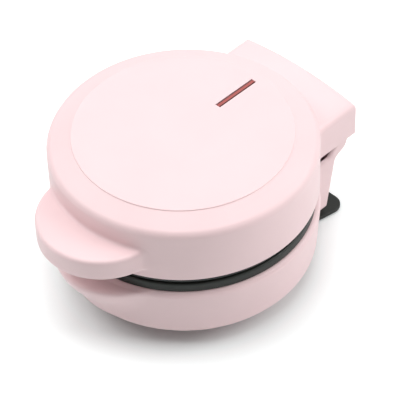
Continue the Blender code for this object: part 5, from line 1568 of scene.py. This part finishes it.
def new_effect(name, inputs, outputs):
    """A node group with named sockets. Returns its tree, its input node and its output node."""
    group = bpy.data.node_groups.new(name, "ShaderNodeTree")
    for label, kind, value in inputs:
        socket = group.interface.new_socket(label, in_out="INPUT", socket_type="NodeSocket" + kind)
        socket.default_value = value
    for label, kind in outputs:
        group.interface.new_socket(label, in_out="OUTPUT", socket_type="NodeSocket" + kind)
    given = group.nodes.new("NodeGroupInput").outputs
    return Tree(group), given, group.nodes.new("NodeGroupOutput")


def add_grain_effect():
    """Fine moulded grain, and a roughness that drifts slowly between two values."""
    tree, given, result = new_effect(
        "fine grain",
        [("Scale", "Float", 2500), ("Rough Low", "Float", 0.4), ("Rough High", "Float", 0.5)],
        [("Height", "Float"), ("Roughness", "Float")])
    slow = tree.noise(tree.times(given["Scale"], SLOW_SHARE), 3)
    roughness = tree.spread(slow, NOISE_LOW, NOISE_HIGH, given["Rough Low"], given["Rough High"])
    tree.set(result, {"Height": tree.noise(given["Scale"], 2), "Roughness": roughness})


def add_drift_effect():
    """Slow drift in the shade of a colour."""
    tree, given, result = new_effect(
        "shade drift",
        [("Color", "Color", (1, 1, 1, 1)), ("Darker", "Float", 0.97), ("Scale", "Float", 30)],
        [("Color", "Color")])
    shade = tree.spread(tree.noise(given["Scale"], 3), NOISE_LOW, NOISE_HIGH, given["Darker"], 1)
    scaled = tree.add("VectorMath", {0: given["Color"], "Scale": shade}, operation="SCALE")
    tree.set(result, {"Color": scaled.outputs[0]})


def add_wear_effect():
    """A second colour in patches along rubbed edges."""
    tree, given, result = new_effect(
        "edge wear",
        [("Color", "Color", (1, 1, 1, 1)), ("Worn", "Color", (1, 1, 1, 1)), ("Start", "Float", 0.52),
         ("End", "Float", 0.6)],
        [("Color", "Color")])
    edge = tree.add("NewGeometry", {}).outputs["Pointiness"]
    sharp = tree.spread(edge, given["Start"], given["End"], 0, 1)
    patch = tree.spread(tree.noise(scale=400, detail=3), low=0.4, high=0.65, to_low=0, to_high=1)
    tree.set(result, {"Color": tree.mix(tree.times(sharp, patch), given["Color"], given["Worn"])})


def add_speck_effect():
    """Small specks of a second colour."""
    tree, given, result = new_effect(
        "specks",
        [("Color", "Color", (1, 1, 1, 1)), ("Speck", "Color", (1, 1, 1, 1)), ("Scale", "Float", 1500),
         ("Amount", "Float", 0.5)],
        [("Color", "Color")])
    spot = tree.spread(tree.noise(given["Scale"], 1), low=0.62, high=0.7, to_low=0, to_high=given["Amount"])
    tree.set(result, {"Color": tree.mix(spot, given["Color"], given["Speck"])})


def new_material(name):
    """A material, its tree and its Principled shader."""
    material = bpy.data.materials.new(name + "_finish")
    material.use_nodes = True
    return Tree(material.node_tree), material.node_tree.nodes["Principled BSDF"]


def add_bump(tree, shader, height, strength, depth):
    """Let a height shape the normals of a shader."""
    bump = tree.add("Bump", {"Height": height, "Strength": strength, "Distance": depth})
    tree.set(shader, {"Normal": bump.outputs[0]})


def coat(tree, shader, color, scale, smoothest, roughest, relief, depth=GRAIN_DEPTH):
    """Give a shader its colour, and a fine grain in its roughness and its relief."""
    surface = tree.group("fine grain", {"Scale": scale, "Rough Low": smoothest, "Rough High": roughest})
    tree.set(shader, {"Base Color": color, "Roughness": surface.outputs["Roughness"]})
    add_bump(tree, shader, surface.outputs["Height"], relief, depth)


def make_moulded(name, base, worn, roughness, grain, scale):
    """Satin moulded plastic with a fine grain and lightly rubbed edges."""
    tree, shader = new_material(name)
    shader.inputs["Specular IOR Level"].default_value = MOULDED_SHINE
    shade = tree.group("shade drift", {"Color": (*base, 1), "Darker": 0.97, "Scale": 30})
    rubbed = tree.group("edge wear", {
        "Color": shade.outputs[0], "Worn": (*worn, 1), "Start": 0.56, "End": 0.66})
    coat(tree, shader, rubbed.outputs[0], scale, roughness - ROUGH_SPREAD, roughness + ROUGH_SPREAD, grain)


def make_coating(f):
    """Dark non-stick coating with small bright specks."""
    tree, shader = new_material("coated_plate")
    base = tree.group("specks", {"Color": (*f.coating, 1), "Speck": (*f.coating_speck, 1), "Scale": 1800})
    coat(tree, shader, base.outputs[0], scale=1500, smoothest=0.32, roughest=0.46, relief=0.25)


def make_steel(f):
    """Bright steel with fine drawn lines along its upright axis."""
    tree, shader = new_material("bright_steel")
    place = tree.add("TexCoord", {}).outputs["Object"]
    drawn = tree.add("Mapping", {"Vector": place, "Scale": (1, 1, 0.05)}).outputs[0]
    lines = tree.add("TexNoise", {"Vector": drawn, "Scale": 2500, "Detail": 2}).outputs[0]
    shade = tree.group("shade drift", {"Color": (*f.steel, 1), "Darker": 0.85, "Scale": 120})
    shader.inputs["Metallic"].default_value = 1
    roughness = tree.spread(lines, NOISE_LOW, NOISE_HIGH, 0.22, 0.38)
    tree.set(shader, {"Base Color": shade.outputs[0], "Roughness": roughness})
    add_bump(tree, shader, lines, 0.1, LINE_DEPTH)


def make_rubber(f):
    """Dull dark rubber."""
    tree, shader = new_material("dark_rubber")
    shade = tree.group("shade drift", {"Color": (*f.rubber, 1), "Darker": 0.75, "Scale": 200})
    coat(tree, shader, shade.outputs[0], scale=1800, smoothest=0.72, roughest=0.88, relief=0.4)


def make_phenolic(f):
    """Brown pressed phenolic with dark flecks."""
    tree, shader = new_material("brown_phenolic")
    base = tree.group("specks", {
        "Color": (*f.phenolic, 1), "Speck": (*f.phenolic_speck, 1), "Scale": 900, "Amount": 0.9})
    coat(tree, shader, base.outputs[0], scale=1600, smoothest=0.45, roughest=0.65, relief=0.3)


def make_lens_finish(f, s):
    """Satin red lens, a little uneven inside, with nearly black painted shade along its long sides, where its
    edges drop into the shadowed gap.
    """
    tree, shader = new_material("red_lens")
    place = tree.add("TexCoord", {}).outputs["Object"]
    aside = tree.add("SeparateXYZ", {0: place}).outputs["X"]
    aside = tree.add("Math", {0: aside}, operation="ABSOLUTE").outputs[0]
    edge = s.window_half - s.window_gap
    # Painted shade: the lens darkens to nearly black towards its long sides.
    border = tree.spread(aside, edge - s.window_shade_width, edge - s.window_shade_width / 2, 0, 1)
    face = tree.mix(border, (*f.lens, 1), (*f.lens_painted_shade, 1))
    shade = tree.group("shade drift", {"Color": face, "Darker": 0.8, "Scale": 250})
    shader.inputs["Specular IOR Level"].default_value = LENS_SHINE
    coat(tree, shader, shade.outputs[0], scale=700, smoothest=0.26, roughest=0.36, relief=0.15)


def make_glass(f):
    """Clear tinted glass of the lamp, with a slightly uneven skin."""
    tree, shader = new_material("lamp_glass")
    shader.inputs["Transmission Weight"].default_value = GLASS_CLARITY
    coat(tree, shader, (*f.glass, 1), scale=600, smoothest=0.04, roughest=0.10, relief=0.1, depth=LINE_DEPTH)


def make_floor_finish(f):
    """Plain pale worktop, lifted a little for the camera and more with distance from the middle: white far off,
    but unlifted near the appliance, which paints a darker contact shadow round it.
    """
    tree, shader = new_material("floor")
    surface = tree.group("fine grain", {"Scale": 400, "Rough Low": 0.55, "Rough High": 0.65})
    shader.inputs["Base Color"].default_value = (*f.floor, 1)
    tree.set(shader, {"Roughness": surface.outputs["Roughness"]})
    place = tree.add("TexCoord", {}).outputs["Object"]
    distance = tree.add("VectorMath", {0: place}, operation="LENGTH").outputs["Value"]
    # Within the near start the floor keeps no lift: painted shadow round the appliance.
    lifts = [tree.spread(distance, start, end, 0, strength) for start, end, strength in (PAINTED_SHADOW_LIFT, FAR_LIFT)]
    lift = tree.add("Math", {0: lifts[0], 1: lifts[1]}, operation="ADD").outputs[0]
    glow = tree.add("Emission", {"Strength": tree.times(seen_directly(tree), lift)})
    both = tree.add("AddShader", {0: shader.outputs[0], 1: glow.outputs[0]})
    tree.set(tree.tree.nodes["Material Output"], {"Surface": both.outputs[0]})


class WAFFLE_OT_finishes(bpy.types.Operator):
    """Make the materials"""
    bl_idname = "waffle.finishes"
    bl_label = "Finishes"

    def execute(self, context):
        f = context.scene.waffle_finishes
        add_grain_effect()
        add_drift_effect()
        add_wear_effect()
        add_speck_effect()
        make_moulded("pink_plastic", f.pink, f.pink_worn, f.gloss, f.grain, scale=2500)
        make_moulded("black_plastic", f.black, f.black_worn, f.black_gloss, 2 * f.grain, scale=2000)
        make_coating(f)
        make_steel(f)
        make_rubber(f)
        make_phenolic(f)
        make_lens_finish(f, context.scene.waffle_casing)
        make_glass(f)
        make_floor_finish(f)
        for entry in frame["record"]["subparts"]:
            item = frame["nodes"][entry["node"]]
            item.data.materials.clear()
            item.data.materials.append(material_for(entry["material_slot"]))
        return {"FINISHED"}


class WAFFLE_OT_lid_casing(bpy.types.Operator):
    """Make the lid's pink casing"""
    bl_idname = "waffle.lid_casing"
    bl_label = "Lid casing"

    def execute(self, context):
        plan = Plan(context.scene)
        casing = make_lid_form(plan)
        cut_lid_form(plan, casing)
        add_lugs(plan, casing)
        add_lid_bosses(plan, casing)
        dress(casing, "lid", "pink_plastic", "lid_shell")
        return {"FINISHED"}


class WAFFLE_OT_base_casing(bpy.types.Operator):
    """Make the base's pink casing"""
    bl_idname = "waffle.base_casing"
    bl_label = "Base casing"

    def execute(self, context):
        plan = Plan(context.scene)
        casing = make_base_form(plan)
        cut_base_form(plan, casing)
        cut_tower(plan, casing)
        add_base_bosses(plan, casing)
        dress(casing, "base", "pink_plastic", "base_shell")
        return {"FINISHED"}


class WAFFLE_OT_handle_cover(bpy.types.Operator):
    """Make the plate under the handle"""
    bl_idname = "waffle.handle_cover"
    bl_label = "Handle cover"

    def execute(self, context):
        cover = make_cover(Plan(context.scene))
        dress(cover, "lid", "pink_plastic", "handle_cover")
        return {"FINISHED"}


class WAFFLE_OT_trim_rings(bpy.types.Operator):
    """Make the black rings that carry the waffle plates"""
    bl_idname = "waffle.trim_rings"
    bl_label = "Trim rings"

    def execute(self, context):
        plan = Plan(context.scene)
        dress(make_base_ring(plan), "base", "black_plastic", "base_trim_ring")
        dress(make_lid_ring(plan), "lid", "black_plastic", "lid_trim_ring")
        return {"FINISHED"}


class WAFFLE_OT_plates(bpy.types.Operator):
    """Make the two waffle plates with their studs"""
    bl_idname = "waffle.plates"
    bl_label = "Waffle plates"

    def execute(self, context):
        plan = Plan(context.scene)
        for body, side, upper in SIDES:
            plate = make_plate(plan, side + "_plate", upper)
            dress(plate, body, "coated_plate", side + "_waffle_plate")
        return {"FINISHED"}


class WAFFLE_OT_heaters(bpy.types.Operator):
    """Make the heating elements, their clamps and their heat shields"""
    bl_idname = "waffle.heaters"
    bl_label = "Heaters"

    def execute(self, context):
        plan = Plan(context.scene)
        for body, side, upper in SIDES:
            element = make_element(plan, side + "_element", upper)
            dress(element, body, "bright_steel", side + "_heating_element")
            clamp = make_clamp(plan, side + "_element_clamp")
            dress(clamp, body, "bright_steel", side + "_element_clamp")
            screw = make_screw(plan, side + "_bar_screw", side + "_clamp_screw", upper)
            dress(screw, body, "bright_steel", side + "_clamp_screw")
            shield = make_shield(plan, side + "_shield", upper)
            dress(shield, body, "bright_steel", side + "_heat_shield")
        return {"FINISHED"}


class WAFFLE_OT_controls(bpy.types.Operator):
    """Make the thermostat, the thermal fuse and the terminal block"""
    bl_idname = "waffle.controls"
    bl_label = "Controls"

    def execute(self, context):
        dress(make_thermostat(), "base", "brown_phenolic", "thermostat")
        dress(make_fuse(), "base", "bright_steel", "thermal_fuse")
        dress(make_terminal_block(), "base", "black_plastic", "terminal_block")
        return {"FINISHED"}


class WAFFLE_OT_indicator(bpy.types.Operator):
    """Make the red lens, the lamp and its holder"""
    bl_idname = "waffle.indicator"
    bl_label = "Indicator"

    def execute(self, context):
        plan = Plan(context.scene)
        dress(make_lens(plan), "lid", "red_lens", "indicator_window")
        dress(make_lamp(), "lid", "lamp_glass", "indicator_lamp")
        dress(make_lamp_holder(), "lid", "black_plastic", "lamp_holder")
        return {"FINISHED"}


class WAFFLE_OT_hinge(bpy.types.Operator):
    """Make the hinge pins, the wire sleeve and the cord gland"""
    bl_idname = "waffle.hinge"
    bl_label = "Hinge and gland"

    def execute(self, context):
        plan = Plan(context.scene)
        for side in ("left", "right"):
            pin = make_pin(plan, "pin_" + side, "hinge_pin_" + side)
            dress(pin, "base", "bright_steel", "hinge_pin_" + side)
        dress(make_sleeve(plan), "base", "dark_rubber", "hinge_wire_sleeve")
        dress(make_gland(plan), "base", "dark_rubber", "cord_gland")
        return {"FINISHED"}


class WAFFLE_OT_foot(bpy.types.Operator):
    """Make the foot plate and its rubber feet"""
    bl_idname = "waffle.foot"
    bl_label = "Foot"

    def execute(self, context):
        plan = Plan(context.scene)
        dress(make_foot_plate(plan), "base", "black_plastic", "cord_wrap_foot")
        for node in RUBBER_FEET:
            dress(make_rubber_foot(node), "base", "dark_rubber", node)
        return {"FINISHED"}


class WAFFLE_OT_screws(bpy.types.Operator):
    """Make the screws of the lid, the base and the foot plate"""
    bl_idname = "waffle.screws"
    bl_label = "Screws"

    def execute(self, context):
        plan = Plan(context.scene)
        for body, stem, count in SCREW_ROWS:
            for index in range(count):
                node = f"{stem}_{index + 1}"
                dress(make_screw(plan, node + "_fine", node), body, "bright_steel", node)
        return {"FINISHED"}


CAMERA_PLACE = (0.5218, -0.4872, 0.7446)
CAMERA_AZIMUTH = math.radians(46.35)
CAMERA_ELEVATION = math.radians(44.88)
CAMERA_ROLL = math.radians(-2.24)
CAMERA_LENS = 190.84
SENSOR_WIDTH = 36


def add_camera():
    """The camera at the photograph's angle."""
    azimuth, elevation, roll = CAMERA_AZIMUTH, CAMERA_ELEVATION, CAMERA_ROLL
    back = Vector((
        math.sin(azimuth) * math.cos(elevation), -math.cos(azimuth) * math.cos(elevation),
        math.sin(elevation)))
    side = Vector((math.cos(azimuth), math.sin(azimuth), 0))
    up = back.cross(side)
    right = side * math.cos(roll) + up * math.sin(roll)
    above = up * math.cos(roll) - side * math.sin(roll)
    camera = bpy.data.cameras.new("camera")
    camera.lens = CAMERA_LENS
    camera.sensor_width = SENSOR_WIDTH
    item = bpy.data.objects.new("camera", camera)
    item.matrix_world = Matrix.Translation(CAMERA_PLACE) @ Matrix((right, above, back)).transposed().to_4x4()
    bpy.context.scene.collection.objects.link(item)
    bpy.context.scene.camera = item


# Each lamp: name, compass bearing seen from the camera, elevation, distance, side length, power.
# Bearing 0 is behind the appliance, 90 is to its right and 180 is at the camera.
LAMPS = (
    ("top_softbox", 0, 85, 2.2, 1.6, 23.2),
    ("left_softbox", -72, 44, 1.8, 1.2, 15.4),
    ("right_softbox", 88, 35, 1.8, 1.2, 17.4),
    ("rear_softbox", 0, 40, 1.8, 1.2, 2),
)
WORLD_FILL = 0.205
WORLD_MIRRORED = 0.45

FLOOR_HALF = 6
FLOOR_CELLS = 8

# The floor is lifted to white for the camera, more with distance from the middle: each is a start, an end and a
# strength. Short of the first start the floor is not lifted, a painted shadow round the appliance's foot.
PAINTED_SHADOW_LIFT = (0.060, 0.080, 0.25)
FAR_LIFT = (0.4, 2.0, 0.8)


def add_softbox(name, bearing, elevation, distance, size, power):
    """A square soft lamp that faces the appliance."""
    rise = math.radians(elevation)
    away = Vector((-math.sin(CAMERA_AZIMUTH), math.cos(CAMERA_AZIMUTH), 0))
    right = Vector((math.cos(CAMERA_AZIMUTH), math.sin(CAMERA_AZIMUTH), 0))
    turn = math.radians(bearing)
    level = away * math.cos(turn) + right * math.sin(turn)
    toward = level * math.cos(rise) + Vector((0, 0, math.sin(rise)))
    lamp = bpy.data.lights.new(name, "AREA")
    lamp.size = size
    lamp.energy = power
    item = bpy.data.objects.new(name, lamp)
    item.location = toward * distance
    item.rotation_euler = (-toward).to_track_quat("-Z", "Y").to_euler()
    bpy.context.scene.collection.objects.link(item)


def seen_directly(tree):
    """A value of 1 for rays that reach the camera straight or through glass, and of 0 for the rest."""
    path = tree.add("LightPath", {}).outputs
    through = {0: path["Is Camera Ray"], 1: path["Is Transmission Ray"]}
    return tree.add("Math", through, operation="MAXIMUM").outputs[0]


def add_world():
    """White surroundings for the camera, pale ones for reflections, and a weak even fill for the rest."""
    world = bpy.data.worlds.new("studio")
    world.use_nodes = True
    tree = Tree(world.node_tree)
    mirrored = tree.times(tree.add("LightPath", {}).outputs["Is Glossy Ray"], WORLD_MIRRORED)
    fill = tree.add("Math", {0: mirrored, 1: WORLD_FILL}, operation="MAXIMUM").outputs[0]
    strength = tree.add("Math", {0: seen_directly(tree), 1: fill}, operation="MAXIMUM").outputs[0]
    tree.set(world.node_tree.nodes["Background"], {"Color": (1, 1, 1, 1), "Strength": strength})
    bpy.context.scene.world = world


class WAFFLE_OT_stage(bpy.types.Operator):
    """Make the floor, the lamps, the world and the camera"""
    bl_idname = "waffle.stage"
    bl_label = "Stage"

    def execute(self, context):
        form = bmesh.new()
        bmesh.ops.create_grid(form, x_segments=FLOOR_CELLS, y_segments=FLOOR_CELLS, size=FLOOR_HALF)
        floor = add_object("floor", form, ORIGIN)
        floor.data.materials.append(material_for("floor"))
        for lamp in LAMPS:
            add_softbox(*lamp)
        add_world()
        context.scene.view_settings.view_transform = "Standard"
        add_camera()
        return {"FINISHED"}


OPERATORS = (
    WAFFLE_OT_finishes, WAFFLE_OT_lid_casing, WAFFLE_OT_base_casing, WAFFLE_OT_handle_cover,
    WAFFLE_OT_trim_rings, WAFFLE_OT_plates, WAFFLE_OT_heaters, WAFFLE_OT_controls,
    WAFFLE_OT_indicator, WAFFLE_OT_hinge, WAFFLE_OT_foot, WAFFLE_OT_screws, WAFFLE_OT_stage)


class WAFFLE_PT_panel(bpy.types.Panel):
    """Buttons for every piece"""
    bl_idname = "WAFFLE_PT_panel"
    bl_label = "Mini Waffle Maker"
    bl_space_type = "VIEW_3D"
    bl_region_type = "UI"
    bl_category = "Waffle Maker"

    def draw(self, context):
        for operator in OPERATORS:
            self.layout.operator(operator.bl_idname)


SETTINGS = {
    "waffle_casing": WaffleCasingSizes,
    "waffle_plate": WafflePlateSizes,
    "waffle_hinge": WaffleHingeSizes,
    "waffle_foot": WaffleFootSizes,
    "waffle_finishes": WaffleFinishes,
}
CLASSES = (*SETTINGS.values(), *OPERATORS, WAFFLE_PT_panel)


def register():
    """Add the classes and the settings."""
    for item in CLASSES:
        bpy.utils.register_class(item)
    for name, group in SETTINGS.items():
        setattr(bpy.types.Scene, name, PointerProperty(type=group))


def unregister():
    """Remove the settings and the classes."""
    for name in SETTINGS:
        delattr(bpy.types.Scene, name)
    for item in reversed(CLASSES):
        bpy.utils.unregister_class(item)


def main():
    """Build every piece, the finishes and the stage."""
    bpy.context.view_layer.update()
    register()
    bpy.ops.waffle.finishes()
    bpy.ops.waffle.lid_casing()
    bpy.ops.waffle.base_casing()
    bpy.ops.waffle.handle_cover()
    bpy.ops.waffle.trim_rings()
    bpy.ops.waffle.plates()
    bpy.ops.waffle.heaters()
    bpy.ops.waffle.controls()
    bpy.ops.waffle.indicator()
    bpy.ops.waffle.hinge()
    bpy.ops.waffle.foot()
    bpy.ops.waffle.screws()
    bpy.ops.waffle.stage()


if __name__ == "__main__":
    main()
